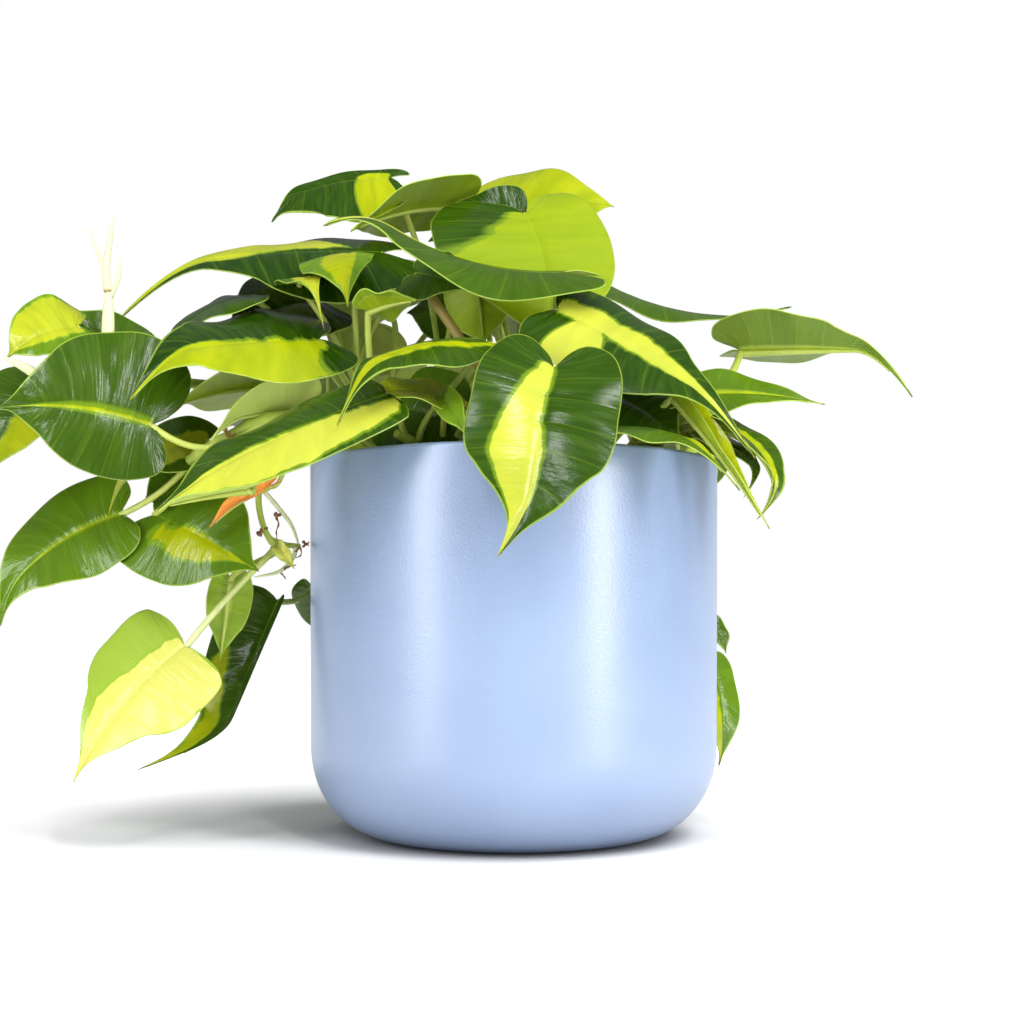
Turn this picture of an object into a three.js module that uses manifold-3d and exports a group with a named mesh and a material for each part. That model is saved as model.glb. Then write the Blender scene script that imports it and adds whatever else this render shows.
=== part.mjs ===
// Potted brasil philodendron: trailing stems of lime-splashed, heart-shaped
// leaves in a plain round pot. Millimetres, +Z up, origin at the middle of the
// pot's flat base. The photograph's front is -Y.
import * as THREE from 'three';
import Module from 'manifold-3d';
import { mergeVertices } from 'three/addons/utils/BufferGeometryUtils.js';

const wasm = await Module();
wasm.setup();

// Pot: a round-bottomed cylinder, measured on the outside
const POT_RADIUS = 70;
const POT_HEIGHT = 126;
const POT_WALL = 4.5;
const POT_FLOOR = 6;
const POT_FOOT_RADIUS = 41.7;
const POT_CORNER_TOP = 30.2;
const POT_LOW_RADIUS = 68.8;
const RIM_ROUND = 1.4;

// Soil: fills the pot to just under the rim
const SOIL_TOP = 112;
const CLEARANCE = 0.3;

// Plant
const BLADE_THICKNESS = 0.7;
const STEM_FOOT = 90;
const STEM_STRAIGHT_TOP = 116.5;
const PETIOLE_RADIUS = 1.1;
const PETIOLE_SINK = 2.6;
const LARGEST_CRUMB = 3;

// Half outline of a leaf from the notch round the lobe to the tip: half widths
// across, lengths along, and the half widths that a full leaf has more
const OUTLINE = [
  [0, 0, 0], [0.16, -0.09, 0], [0.42, -0.16, 0], [0.72, -0.13, 0], [0.93, 0.01, 0], [1, 0.18, 0],
  [0.97, 0.37, 0.02], [0.82, 0.56, 0.11], [0.55, 0.73, 0.2], [0.27, 0.86, 0.14],
  [0.09, 0.94, 0.02], [0, 1, 0],
];
// Lines along and across a blade; narrow leaves and the hidden ones take the small set
const STATIONS = [0, 0.12, 0.26, 0.40, 0.55, 0.70, 0.85, 1];
const ACROSS = [-1, -0.5, 0, 0.5, 1];
const SMALL_STATIONS = [0, 0.14, 0.28, 0.44, 0.62, 0.80, 1];
const SMALL_ACROSS = [-1, 0, 1];
const SMALL_WIDTH = 19;

// Stems. Each has the place of its hole in the soil, the points it grows
// through above the soil, and its leaves: where the stalk meets the blade, the
// tip, the way the upper face looks, the width, and the leaf's own bends.
const STEMS = {
  front_stem: {
    hole: [10, -34],
    radius: 2.1,
    path: [[11, -38, 121], [12, -44, 128], [13, -50, 133]],
    leaves: [
      [[-33, -24, 188], [-16, -33, 180], [0.2, -0.95, 0.2], 22,
        { knee: 1, at: 0.5, arch: 0.1, via: [-8, -38, 150], stalk: 1.7, full: 0.8 }],
      [[15, -38, 185], [-60, -54, 196], [0, -0.38, 0.93], 34,
        { right: 1.2, full: 0.7, knee: 1, at: 0.8, arch: -0.11, fold: -5, curl: -20, hook: [-3, 0, -15], via: [12, -36, 160] }],
      [[12, -70, 148], [-5, -87, 90], [-0.12, -1, 0.12], 44,
        { hook: [-7, 0, -3], drip: 0.2, full: 1.8, at: 0.95, arch: 0.08, fold: 10, foldLeft: 20, curl: -18 }],
      [[14, -49, 170], [73, -66, 121], [0.2, -0.76, 0.62], 44,
        { drip: 0.18, at: 0.85, arch: 0.02, fold: 2, curl: -24, ears: 0.5, hook: [4, -2, -13] }],
    ],
  },
  right_stem: {
    hole: [30, -24],
    radius: 2,
    path: [[33, -27, 122], [40, -32, 128], [49, -37, 131]],
    leaves: [
      [[31, -62, 131], [66, -80, 110], [0.2, -0.28, 0.94], 26,
        { at: 0.45, arch: 0.1, fold: 0, curl: -18, drip: 0.25, hook: [3, -2, -6] }],
      [[31, -43, 144], [52, -55, 127], [0.1, -0.75, 0.65], 28, { at: 0.5, arch: 0.08, full: 0.8 }],
      [[78, -8, 165], [132, -26, 146], [0.05, 0, 1], 44,
        { left: 0.85, at: 1, arch: 0.01, foldLeft: 38, foldRight: 8, curl: -16, drip: 0.25, full: 0.6, hook: [2, -2, -16], via: [73, -18, 150], stalk: 1.3 }],
      [[47, -34, 144], [102, -30, 143], [0, -0.38, 0.92], 36,
        { via: [51, -32, 140], at: 1, arch: 0.05, foldLeft: 4, foldRight: 30, curl: -14, right: 0.65, full: 1, wave: 1.8, waves: 2.2, drip: 0.2 }],
      [[61, -43, 135], [75, -54, 103], [0.7, -0.5, 0.5], 20,
        { via: [56, -34, 133], at: 0.75, arch: 0.2, fold: 20, drip: 0.15, full: 0.8, hook: [-8, -2, -1] }],
      [[50, -52, 142], [78, -60, 100], [0.5, -0.6, 0.6], 12,
        { via: [41, -44, 134], at: 0.6, arch: 0.03, fold: 50, curl: 0, drip: 0.35 }],
      [[48, -31, 136], [72, -40, 118], [0.25, -0.55, 0.8], 18, { at: 0.7, arch: 0.12, full: 0.7 }],
      [[60, -38, 130], [71, -54, 110], [0.3, -0.5, 0.8], 18,
        { at: 0.95, arch: 0.16, drip: 0.25, hook: [-8, -2, -3] }],
    ],
  },
  top_stem: {
    hole: [4, 6],
    radius: 2.1,
    path: [[3, 6, 128], [2, 8, 144], [3, 10, 158]],
    leaves: [
      [[4, 10, 218], [12, -24, 159], [0.15, -0.9, 0.4], 62,
        { left: 1.2, right: 0.84, full: 0.95, drip: 0.12, sweep: 0.04, at: 0.95, arch: 0.06, fold: 6, curl: -8 }],
      [[4, 13, 218], [-31, 14, 209], [0.05, -0.95, 0.3], 27,
        { full: 0.9, drip: 0.02, at: 0.9, ears: 0.4, arch: 0.04 }],
      [[-13, 38, 224], [38, 35, 228], [0, -0.78, 0.62], 50,
        { full: 0.8, drip: 0.05, via: [-6, 18, 190], at: 0.97, arch: 0.1, fold: 5, curl: -20 }],
      [[-14, 0, 196], [-10, -12, 166], [0.3, 0.9, 0.25], 27,
        { knee: 1, full: 0.9, at: 0.8, arch: 0.05, fold: 10 }],
      [[34, 22, 195], [98, 4, 183], [0.1, -0.25, 0.97], 32,
        { at: 0.85, arch: -0.08, fold: -4, curl: -20, drip: 0.15, hook: [3, 0, 2] }],
    ],
  },
  upper_left_stem: {
    hole: [-18, 0],
    radius: 2,
    path: [[-20, 0, 128], [-24, 2, 143], [-28, 4, 156]],
    leaves: [
      [[-46, 20, 234.5], [-87, 10, 215], [-0.1, -0.75, 0.6], 42,
        { hook: [0, 0, -6], via: [-30, 20, 205], at: 0.8, arch: 0, sweep: -0.1, fold: 0, foldLeft: 4, right: 1.1, left: 0.25, full: 1, drip: 0.01 }],
      [[-24, 28, 226], [-58, 4, 210], [0, 0.4, 0.92], 46,
        { left: 0.65, via: [-17, 18, 200], at: 1, arch: 0.06, fold: 0, full: 0.9 }],
      [[-13, 28, 184], [-40, 34, 187], [0, -0.8, 0.5], 34, { at: 0.7, arch: 0.08, full: 0.8 }],
    ],
  },
  left_front_stem: {
    hole: [-22, -34],
    radius: 2,
    path: [[-24, -38, 121], [-30, -43, 127], [-37, -48, 131]],
    leaves: [
      [[-39, -64, 141], [-103, -86, 103], [-0.2, -0.66, 0.72], 35,
        { right: 0.9, full: 2, ears: 0.15, at: 0.9, arch: 0.03, fold: 2, curl: -25, hook: [-1, 0, -3] }],
      [[-14, -54, 160], [-52, -80, 129], [-0.12, -0.45, 0.88], 31,
        { at: 0.8, arch: 0.06, fold: -6, curl: -20, hook: [-1, -2, -14] }],
      [[-16, -48, 139.5], [-47, -62, 140.5], [-0.1, -0.55, 0.8], 24, { full: 0.9, at: 0.55, arch: 0.1 }],
      [[-21.5, -59, 140.5], [-13.5, -70, 127], [-0.3, -0.8, 0.4], 9,
        { full: 0.2, at: 0.5, arch: 0.05, fold: 20 }],
      [[-36, -34, 141], [-12, -41, 130], [0, -0.85, 0.45], 40,
        { left: 0.95, right: 0.95, full: 0.9, at: 0.7, arch: 0.1 }],
    ],
  },
  left_mid_stem: {
    hole: [-40, -8],
    radius: 2.1,
    path: [[-43, -9, 126], [-49, -9, 140], [-56, -8, 152]],
    leaves: [
      [[-47, 2, 202], [-135, -14, 174], [-0.1, -0.5, 0.86], 42,
        { right: 1.35, drip: 0.34, full: 1, at: 1, arch: 0.03, foldLeft: 5, foldRight: -8, curl: -18, hook: [-6, 0, -17] }],
      [[-56, -14, 197], [-53.5, -40, 172.5], [-0.05, -0.6, 0.8], 34,
        { ears: 0.45, full: 0.8, via: [-54, -12, 180], at: 0.93, arch: 0.16, fold: -2, right: 0.5, curl: -20, hook: [0, -1, -5] }],
      [[-64, -32, 164], [-119, -57, 140], [-0.06, -0.68, 0.72], 44,
        { left: 1.4, full: 0.8, drip: 0.12, via: [-60, -22, 158], at: 0.9, arch: 0.02, fold: 2, curl: -18, hook: [-3, 0, -14] }],
      [[-73, -18, 186], [-61, -40, 165], [-0.1, -0.4, 0.9], 17,
        { drip: 0.4, full: 0.8, ears: 0.45, via: [-60, -10, 170], at: 0.8, arch: 0.2, fold: 4, hook: [1, -1, -8] }],
      [[-68, 2, 184], [-99, -10, 169], [0, -0.7, 0.72], 48, { ears: 0.7, at: 0.87, arch: 0.1 }],
      [[-91, -8, 184], [-117, -20, 164], [-0.35, -0.45, 0.82], 32,
        { ears: 0.45, full: 0.9, via: [-72, 0, 172], at: 0.74, arch: 0.1, fold: 0 }],
      [[-81, -10, 152], [-112, -30, 142], [0, 0.35, 0.94], 38, { at: 0.68, arch: 0.06 }],
      [[-70, -27, 142], [-97, -42, 129], [0.1, 0.5, 0.85], 32,
        { at: 0.5, arch: 0.04, fold: 14, hook: [-2, 0, -6] }],
      [[-47, -40, 172], [-31, -46, 174], [0, 0.3, 0.95], 18,
        { via: [-48, -34, 158], at: 0.64, arch: 0.05, wave: 1.5 }],
      [[-50, 18, 180], [-64, 12, 163], [0, 0.9, 0.4], 36, { at: 0.55, arch: 0.05 }],
    ],
  },
  left_trailing_stem: {
    hole: [-42, -26],
    radius: 2.1,
    path: [[-47, -28, 124], [-60, -32, 135], [-76, -34, 138], [-92, -34, 132], [-106, -32, 124]],
    leaves: [
      [[-80, -30, 116], [-98, -36, 102], [0, -0.7, 0.7], 8,
        { at: 0.62, arch: 0.08, fold: 35, curl: 0, stalk: 0.8 }],
      [[-115, -44, 134], [-161, -54, 138], [-0.08, -0.95, 0.22], 46,
        { at: 0.75, arch: 0.05, sweep: -0.05, fold: 3, curl: -14, left: 1.3, right: 0.9, full: 0.7, drip: 0.12, via: [-98, -41, 121] }],
      [[-129, -28, 107], [-164, -38, 70], [-0.15, -0.85, 0.5], 38,
        { via: [-115, -27, 113], at: 1, arch: 0.03, sweep: -0.1, fold: 3, ears: 0.6, hook: [2, 0, -5] }],
      [[-118, -27, 107], [-82, -34, 88], [0.1, -0.9, 0.42], 42,
        { via: [-107, -34, 114], at: 0.9, arch: 0.06, fold: 2, ears: 0.7, full: 0.8 }],
      [[-105, -12, 120], [-124, -18, 112], [-0.05, -0.9, 0.4], 30, { at: 0.97, arch: 0.08, full: 0.7 }],
      [[-102, -22, 132], [-131, -34, 106], [-0.1, -0.85, 0.5], 24,
        { via: [-103, -27, 126], at: 0.8, arch: 0.1, drip: 0.3, full: 0.8, hook: [2, -1, -9] }],
      [[-85, -42, 114], [-111, -46, 108], [0, -0.5, 0.85], 11, { at: 0.8, arch: 0.02, fold: 60, curl: 0 }],
    ],
  },
  dropping_stem: {
    hole: [-46, -6],
    radius: 1.2,
    path: [[-50, -8, 126], [-62, -14, 136], [-74, -18, 135], [-82, -20, 124], [-85, -20, 112],
      [-81, -19, 99], [-72, -14, 97]],
    shoot: [
      [[[-84, -20, 116], [-79, -17, 110], [-74.5, -16, 104], [-72, -14.5, 97]], 0.8],
      [[[-73, -15, 97], [-74, -16, 93], [-78, -18, 88.5], [-86, -20, 86.5]], 0.8],
    ],
    leaves: [
      [[-78, -22, 96], [-72, -25, 89], [0, -0.9, 0.4], 6, { at: 0.9, arch: 0.1, fold: 40, stalk: 0.7 }],
      [[-105, -36, 64], [-137, -46, 22], [-0.2, -0.85, 0.45], 44,
        { at: 0.93, arch: 0.06, fold: 2, ears: 0.25, drip: 0.33, full: 1.35, right: 0.98, left: 1.05, sweep: -0.03, via: [-93, -28, 81], stalk: 1.15 }],
      [[-94, -18, 85], [-97, -20, 59], [0, 0.95, 0.2], 15, { at: 0.92, arch: 0.04, full: 0.9, drip: 0.2 }],
    ],
  },
  back_left_stem: {
    hole: [-30, 24],
    radius: 2,
    path: [[-36, 26, 126], [-52, 24, 138], [-72, 19, 149], [-94, 10, 154], [-114, -6, 154],
      [-130, -22, 154], [-137, -34, 156]],
    shoot: [
      [[[-135, -33, 155], [-135, -35, 160], [-132, -35.5, 165]], 1.8],
      [[[-132, -35.5, 164], [-132, -35.5, 172], [-132, -35.5, 181]], 2.1],
      [[[-132, -35.5, 179], [-133, -35.5, 187], [-131, -35.5, 204]], 1.4],
      [[[-132.5, -35.5, 179], [-134, -35.5, 187], [-139, -35.5, 200]], 1],
      [[[-131.5, -35.5, 177], [-129, -36, 183], [-128, -36, 191]], 0.8],
      [[[-136, -33, 155], [-147, -41, 147], [-155, -42, 152], [-163, -42, 156]], 2],
    ],
    leaves: [
      [[-143, -33, 168], [-163, -41, 156], [-0.2, -0.9, 0.35], 27,
        { at: 0.9, arch: 0.14, fold: 4, left: 1.25, right: 0.85, ears: 1.5, full: 0.8 }],
      [[-157, -26, 150], [-170, -36, 118], [-0.3, -0.9, 0.2], 36, { at: 1, arch: 0.08 }],
      [[-124, -14, 155], [-152, -24, 176], [0.1, -0.85, 0.5], 48,
        { at: 0.8, arch: 0.06, fold: 2, left: 0.55, full: 0.9 }],
    ],
  },
  back_stem: {
    hole: [8, 38],
    radius: 2.1,
    path: [[8, 42, 124], [9, 47, 136]],
    leaves: [
      [[8, 60, 196], [16, 104, 172], [0.05, 0.55, 0.83], 50, { plain: 1, at: 1 }],
      [[-8, 66, 172], [-20, 106, 136], [-0.15, 0.8, 0.6], 46, { plain: 1, at: 0.85 }],
      [[26, 66, 168], [34, 104, 132], [0.2, 0.8, 0.55], 42, { plain: 1, at: 0.9 }],
      [[4, 74, 150], [8, 100, 104], [0, 0.95, 0.3], 42, { plain: 1, at: 0.8 }],
      [[-8, 56, 214], [-26, 90, 204], [-0.1, 0.3, 0.95], 42, { plain: 1, via: [-4, 46, 170], at: 0.75 }],
    ],
  },
  back_right_stem: {
    hole: [34, 18],
    radius: 2,
    path: [[38, 21, 124], [44, 26, 134], [50, 31, 140]],
    leaves: [
      [[44, 46, 164], [56, 84, 138], [0.3, 0.65, 0.7], 40, { plain: 1, at: 0.98 }],
      [[62, 50, 146], [66, 88, 112], [0.35, 0.85, 0.4], 42, { plain: 1, at: 0.9 }],
    ],
  },
  right_trailing_stem: {
    hole: [50, 6],
    radius: 1.8,
    path: [[56, 14, 124], [66, 28, 135], [73, 38, 134], [75, 43, 122], [73, 44, 100], [71, 43, 75]],
    leaves: [
      [[73, 34, 56], [74, 27, 20], [0.45, -0.85, 0.1], 16, { at: 0.97 }],
      [[74, 42, 72], [79, 41, 60], [0.4, -0.9, 0.1], 8, { at: 0.85 }],
      [[60, 58, 118], [46, 76, 86], [0.4, 0.9, 0.1], 36, { plain: 1, at: 0.7 }],
      [[60, 54, 88], [46, 70, 50], [0.45, 0.88, 0.1], 34, { plain: 1, at: 0.85 }],
    ],
  },
  left_trailing_back_stem: {
    hole: [-46, 18],
    radius: 1.8,
    path: [[-52, 24, 126], [-62, 33, 136], [-70, 39, 132], [-73, 41, 118], [-72, 40, 100],
      [-71, 38, 88]],
    leaves: [
      [[-82, 4, 79], [-127, -8, 22], [-0.3, -0.9, 0.3], 38,
        { ears: 0.3, via: [-74, 22, 78], at: 0.97, arch: 0.02, foldLeft: 6, foldRight: -30, right: 0.1, curl: -14, full: 1, drip: 0.05, hook: [-24, -3, 0] }],
      [[-74, 34, 84], [-71, 42, 68], [-0.5, -0.8, 0.1], 18, { at: 0.97, full: 0.8 }],
      [[-54, 58, 140], [-62, 88, 104], [-0.4, 0.85, 0.3], 40, { plain: 1, at: 0.6 }],
      [[-52, 50, 174], [-68, 86, 140], [-0.3, 0.75, 0.6], 46, { plain: 1, at: 0.5 }],
      [[-72, 24, 172], [-108, 46, 148], [-0.3, 0.2, 0.93], 42, { plain: 1, at: 0.55 }],
      [[-26, 44, 204], [-50, 76, 194], [-0.2, 0.4, 0.9], 42, { plain: 1, at: 0.45 }],
    ],
  },
};

const rad = THREE.MathUtils.degToRad;

function vec(p) {
  return new THREE.Vector3(p[0], p[1], p[2]);
}

// A smooth curve through evenly spaced knots, for any number of components
function knots(points, t) {
  const n = points.length - 1;
  const u = Math.min(Math.max(t, 0), 1) * n;
  const i = Math.min(Math.floor(u), n - 1);
  const f = u - i;
  return points[0].map((_, k) => {
    const p1 = points[i][k];
    const p2 = points[i + 1][k];
    const p0 = i === 0 ? 2 * p1 - p2 : points[i - 1][k];
    const p3 = i === n - 1 ? 2 * p2 - p1 : points[i + 2][k];
    return 0.5 * (2 * p1 + (p2 - p0) * f + (2 * p0 - 5 * p1 + 4 * p2 - p3) * f * f
      + (3 * p1 - p0 - 3 * p2 + p3) * f * f * f);
  });
}

class StemCurve extends THREE.Curve {
  constructor(points) {
    super();
    this.points = points;
  }

  getPoint(t, target = new THREE.Vector3()) {
    return target.set(...knots(this.points, t));
  }
}

// One leaf: a midrib that bows, with a cupped and waved blade on both sides
class Leaf {
  constructor([base, tip, face, width, shape = {}]) {
    this.shape = {
      arch: 0.12, sweep: 0, fold: 8, curl: -10, twist: 0, wave: 1, waves: 1.4,
      phase: 0, drip: 0.1, full: 0.5, ears: 1, right: 1, left: 1, lobe: 0.5, hook: [0, 0, 0],
      at: 0.9, stalk: PETIOLE_RADIUS, ...shape,
    };
    const s = this.shape;
    this.foldLeft = rad(s.foldLeft ?? s.fold);
    this.foldRight = rad(s.foldRight ?? s.fold);
    this.half = width / 2;
    this.width = width;
    this.base = vec(base);
    this.hook = vec(s.hook);
    this.end = vec(tip).sub(this.hook);
    const along = this.end.clone().sub(this.base);
    this.length = along.length();
    along.normalize();
    this.up = vec(face);
    this.up.addScaledVector(along, -this.up.dot(along)).normalize();
    const side = this.up.clone().cross(along);
    this.bend = this.base.clone().add(this.end).multiplyScalar(0.5)
      .addScaledVector(this.up, s.arch * this.length * 2)
      .addScaledVector(side, s.sweep * this.length * 2);
  }

  // Point and direction of the midrib at t, behind the stalk where t < 0
  midrib(t) {
    const u = Math.min(Math.max(t, 0), 1);
    const toBend = this.bend.clone().sub(this.base);
    const toEnd = this.end.clone().sub(this.bend);
    const point = this.base.clone().multiplyScalar((1 - u) ** 2)
      .addScaledVector(this.bend, 2 * u * (1 - u))
      .addScaledVector(this.end, u * u);
    const direction = toBend.clone().multiplyScalar(2 * (1 - u)).addScaledVector(toEnd, 2 * u);
    const q = Math.min(Math.max((u - 0.7) / 0.3, 0), 1);
    point.addScaledVector(this.hook, q * q);
    direction.addScaledVector(this.hook, 2 * q / 0.3);
    if (t < 0) point.addScaledVector(toBend, 2 * t);
    return [point, direction.normalize()];
  }

  // Point of the blade x half widths from the midrib and t lengths along it
  blade(x, t) {
    const s = this.shape;
    const [point, along] = this.midrib(t);
    const up = this.up.clone().addScaledVector(along, -this.up.dot(along)).normalize();
    const side = up.clone().cross(along);
    const turn = rad(s.twist) * Math.min(Math.max(t, -0.2), 1);
    const up2 = up.clone().multiplyScalar(Math.cos(turn)).addScaledVector(side, Math.sin(turn));
    const side2 = side.clone().multiplyScalar(Math.cos(turn)).addScaledVector(up, -Math.sin(turn));
    const fold = x < 0 ? this.foldLeft : this.foldRight;
    let curl = rad(s.curl);
    if (Math.abs(curl) < 1e-3) curl = 1e-3;
    const a = Math.abs(x);
    const r = this.half / curl;
    const out = r * (Math.sin(fold + curl * a) - Math.sin(fold));
    let lift = -r * (Math.cos(fold + curl * a) - Math.cos(fold));
    lift += s.wave * a * a * Math.sin(2 * Math.PI * s.waves * t + (x < 0 ? 0.6 : 2.4) + s.phase);
    if (t < 0) lift -= s.lobe * this.length * t * t;
    return point.addScaledVector(side2, Math.sign(x) * out).addScaledVector(up2, lift);
  }

  // Point at station w of the outline and v across, from -1 (left) to 1 (right)
  at(w, v) {
    const s = this.shape;
    let [x, t, more] = knots(OUTLINE, w);
    if (t > 0) {
      t = t * (1 - s.drip) + s.drip * Math.min(Math.max((t - 0.78) / 0.22, 0), 1) ** 1.5;
    }
    if (t < 0.999) {
      const slim = Math.min(1, 3 * s.drip) * 0.35 * (1 - s.full);
      x *= 1 - slim * Math.min(Math.max((t - 0.55) / 0.25, 0), 1);
    }
    x += s.full * more;
    if (t < 0) t *= s.ears;
    const vein = Math.min(Math.max((w - 0.3) / 0.7, 0), 1);
    const root = vein * (0.62 + 0.38 * vein);
    const a = Math.abs(v);
    const reach = v > 0 ? s.right : s.left;
    return this.blade(v * x * reach, root * (1 - a) + t * a);
  }

  // Closed blade of even thickness, both faces split into triangles alike
  geometry() {
    const small = this.width < SMALL_WIDTH || this.shape.plain;
    const stations = small ? SMALL_STATIONS : STATIONS;
    const across = small ? SMALL_ACROSS : ACROSS;
    const middle = (across.length - 1) / 2;
    const points = [this.at(0, 0)];
    const last = stations.length - 1;
    const index = stations.map((w, i) => across.map((v, j) => {
      if (i === 0 || (w <= 0.3 && j === middle)) return 0;
      if (i === last && j > 0) return points.length - 1;
      points.push(this.at(w, v));
      return points.length - 1;
    }));
    const faces = [];
    const add = (a, b, c) => {
      if (a !== b && b !== c && c !== a) faces.push([a, b, c]);
    };
    for (let i = 0; i < last; i += 1) {
      for (let j = 0; j < across.length - 1; j += 1) {
        const [a, b] = [index[i][j], index[i + 1][j]];
        const [c, d] = [index[i + 1][j + 1], index[i][j + 1]];
        if (j < middle) {
          add(a, b, c);
          add(a, c, d);
        } else {
          add(a, b, d);
          add(b, c, d);
        }
      }
    }
    const normals = points.map(() => new THREE.Vector3());
    for (const [a, b, c] of faces) {
      const n = points[b].clone().sub(points[a]).cross(points[c].clone().sub(points[a]));
      for (const k of [a, b, c]) normals[k].add(n);
    }
    const loop = [0];
    for (let i = 1; i <= last; i += 1) loop.push(index[i][across.length - 1]);
    for (let i = last - 1; i >= 1; i -= 1) loop.push(index[i][0]);
    const count = points.length;
    const all = [];
    for (const side of [1, -1]) {
      points.forEach((p, k) => {
        const offset = normals[k].clone().normalize().multiplyScalar(side * BLADE_THICKNESS / 2);
        all.push(...p.clone().add(offset).toArray());
      });
    }
    const triangles = [];
    for (const [a, b, c] of faces) {
      triangles.push(a, b, c, count + a, count + c, count + b);
    }
    loop.forEach((a, k) => {
      const b = loop[(k + 1) % loop.length];
      triangles.push(a, b, count + b, a, count + b, count + a);
    });
    const geometry = new THREE.BufferGeometry();
    geometry.setAttribute('position', new THREE.Float32BufferAttribute(all, 3));
    geometry.setIndex(triangles);
    return geometry;
  }

  // Stalk from the stem to the blade, running on under the base of the midrib
  petiole(curve) {
    const s = this.shape;
    const start = curve.getPoint(Math.min(s.at, 0.96));
    const before = curve.getPoint(Math.max(s.at - 0.02, 0));
    const after = curve.getPoint(Math.min(s.at + 0.02, 1));
    const stemWay = after.sub(before).normalize();
    const reach = this.base.clone().sub(start);
    const length = reach.length();
    const [, midribWay] = this.midrib(0);
    let near;
    let far;
    if (s.via) {
      const via = vec(s.via);
      near = start.clone().lerp(via, 0.75);
      far = this.base.clone().lerp(via, 0.75);
    } else {
      const leave = stemWay.multiplyScalar(0.7).addScaledVector(reach.normalize(), 0.6);
      leave.z += 0.35;
      const arrive = midribWay.clone().add(this.up).normalize();
      near = start.clone().addScaledVector(leave.normalize(), length * 0.35);
      far = this.base.clone().addScaledVector(arrive, -length * 0.35);
    }
    const bend = new THREE.CubicBezierCurve3(start, near, far, this.base);
    const points = bend.getPoints(2 + Number(!s.via));
    if (!s.knee) {
      const sunk = this.base.clone().addScaledVector(midribWay, PETIOLE_SINK);
      points.push(sunk.addScaledVector(this.up, -0.3));
    }
    return tube(points, s.stalk, 4);
  }

  // Swelling where the stalk turns back into the blade
  kneeGeometry() {
    const knee = new THREE.OctahedronGeometry(this.shape.stalk * 1.7);
    knee.translate(...this.base.toArray());
    return knee;
  }
}

// Round rod through the given points, with flat ends
function tube(points, radius, sides) {
  const curve = new THREE.CatmullRomCurve3(points, false, 'centripetal');
  const round = new THREE.Shape();
  for (let k = 0; k < sides; k += 1) {
    const a = 2 * Math.PI * k / sides;
    const [x, y] = [radius * Math.cos(a), radius * Math.sin(a)];
    if (k === 0) round.moveTo(x, y);
    else round.lineTo(x, y);
  }
  round.closePath();
  return new THREE.ExtrudeGeometry(round, {
    steps: points.length - 1, extrudePath: curve, bevelEnabled: false,
  });
}

function toSolid(geometry) {
  const plain = geometry.clone();
  plain.deleteAttribute('normal');
  plain.deleteAttribute('uv');
  const merged = mergeVertices(plain, 1e-4);
  const solid = new wasm.Manifold(new wasm.Mesh({
    numProp: 3,
    vertProperties: Float32Array.from(merged.attributes.position.array),
    triVerts: Uint32Array.from(merged.index.array),
  }));
  if (solid.isEmpty()) throw new Error('a shape is not closed');
  return solid;
}

// The largest connected skin of a joined solid: a hollow that joining sealed is
// filled by leaving its skin out, and so is a loose crumb
function largestSkin(mesh) {
  const { vertProperties: xyz, triVerts: tri } = mesh;
  const parent = Array.from({ length: xyz.length / 3 }, (_, k) => k);
  const find = (k) => {
    let r = k;
    while (parent[r] !== r) r = parent[r];
    while (parent[k] !== r) [parent[k], k] = [r, parent[k]];
    return r;
  };
  for (let k = 0; k < tri.length; k += 3) {
    parent[find(tri[k])] = find(tri[k + 1]);
    parent[find(tri[k + 1])] = find(tri[k + 2]);
  }
  const volumes = new Map();
  for (let k = 0; k < tri.length; k += 3) {
    const [a, b, c] = [tri[k], tri[k + 1], tri[k + 2]].map((n) => new THREE.Vector3(
      xyz[3 * n], xyz[3 * n + 1], xyz[3 * n + 2]));
    const skin = find(tri[k]);
    volumes.set(skin, (volumes.get(skin) ?? 0) + a.dot(b.cross(c)) / 6);
  }
  const ranked = [...volumes.entries()].sort((p, q) => q[1] - p[1]);
  for (const [, volume] of ranked.slice(1)) {
    if (Math.abs(volume) > LARGEST_CRUMB) throw new Error('a leaf hangs loose from its stem');
  }
  const kept = [];
  for (let k = 0; k < tri.length; k += 3) {
    if (find(tri[k]) === ranked[0][0]) kept.push(tri[k], tri[k + 1], tri[k + 2]);
  }
  return kept;
}

function toGeometry(solid) {
  const mesh = solid.getMesh();
  const geometry = new THREE.BufferGeometry();
  geometry.setAttribute('position', new THREE.BufferAttribute(mesh.vertProperties, 3));
  geometry.setIndex(largestSkin(mesh));
  geometry.computeVertexNormals();
  return geometry;
}

function potProfile() {
  const outer = [];
  const rise = POT_CORNER_TOP;
  for (let k = 0; k <= 6; k += 1) {
    const a = Math.PI / 2 * k / 6;
    outer.push([POT_FOOT_RADIUS + (POT_LOW_RADIUS - POT_FOOT_RADIUS) * Math.sin(a),
      rise * (1 - Math.cos(a))]);
  }
  outer.push([POT_RADIUS, POT_HEIGHT - RIM_ROUND], [POT_RADIUS - RIM_ROUND * 0.3, POT_HEIGHT - RIM_ROUND * 0.3],
    [POT_RADIUS - RIM_ROUND, POT_HEIGHT]);
  return outer;
}

// Wall of the cavity: the outer wall moved inward, from the floor upward
function cavityProfile(gap) {
  const inner = [];
  const floor = POT_FLOOR + gap;
  const foot = POT_FOOT_RADIUS - 2 - gap;
  const low = POT_LOW_RADIUS - POT_WALL - gap;
  for (let k = 0; k <= 3; k += 1) {
    const a = Math.PI / 2 * k / 3;
    inner.push([foot + (low - foot) * Math.sin(a), floor + (POT_CORNER_TOP - POT_FLOOR) * (1 - Math.cos(a))]);
  }
  return inner;
}

function lathe(profile, segments) {
  const points = profile.map(([r, z]) => new THREE.Vector2(r, z));
  const geometry = new THREE.LatheGeometry(points, segments);
  geometry.rotateX(Math.PI / 2);
  return geometry;
}

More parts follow.
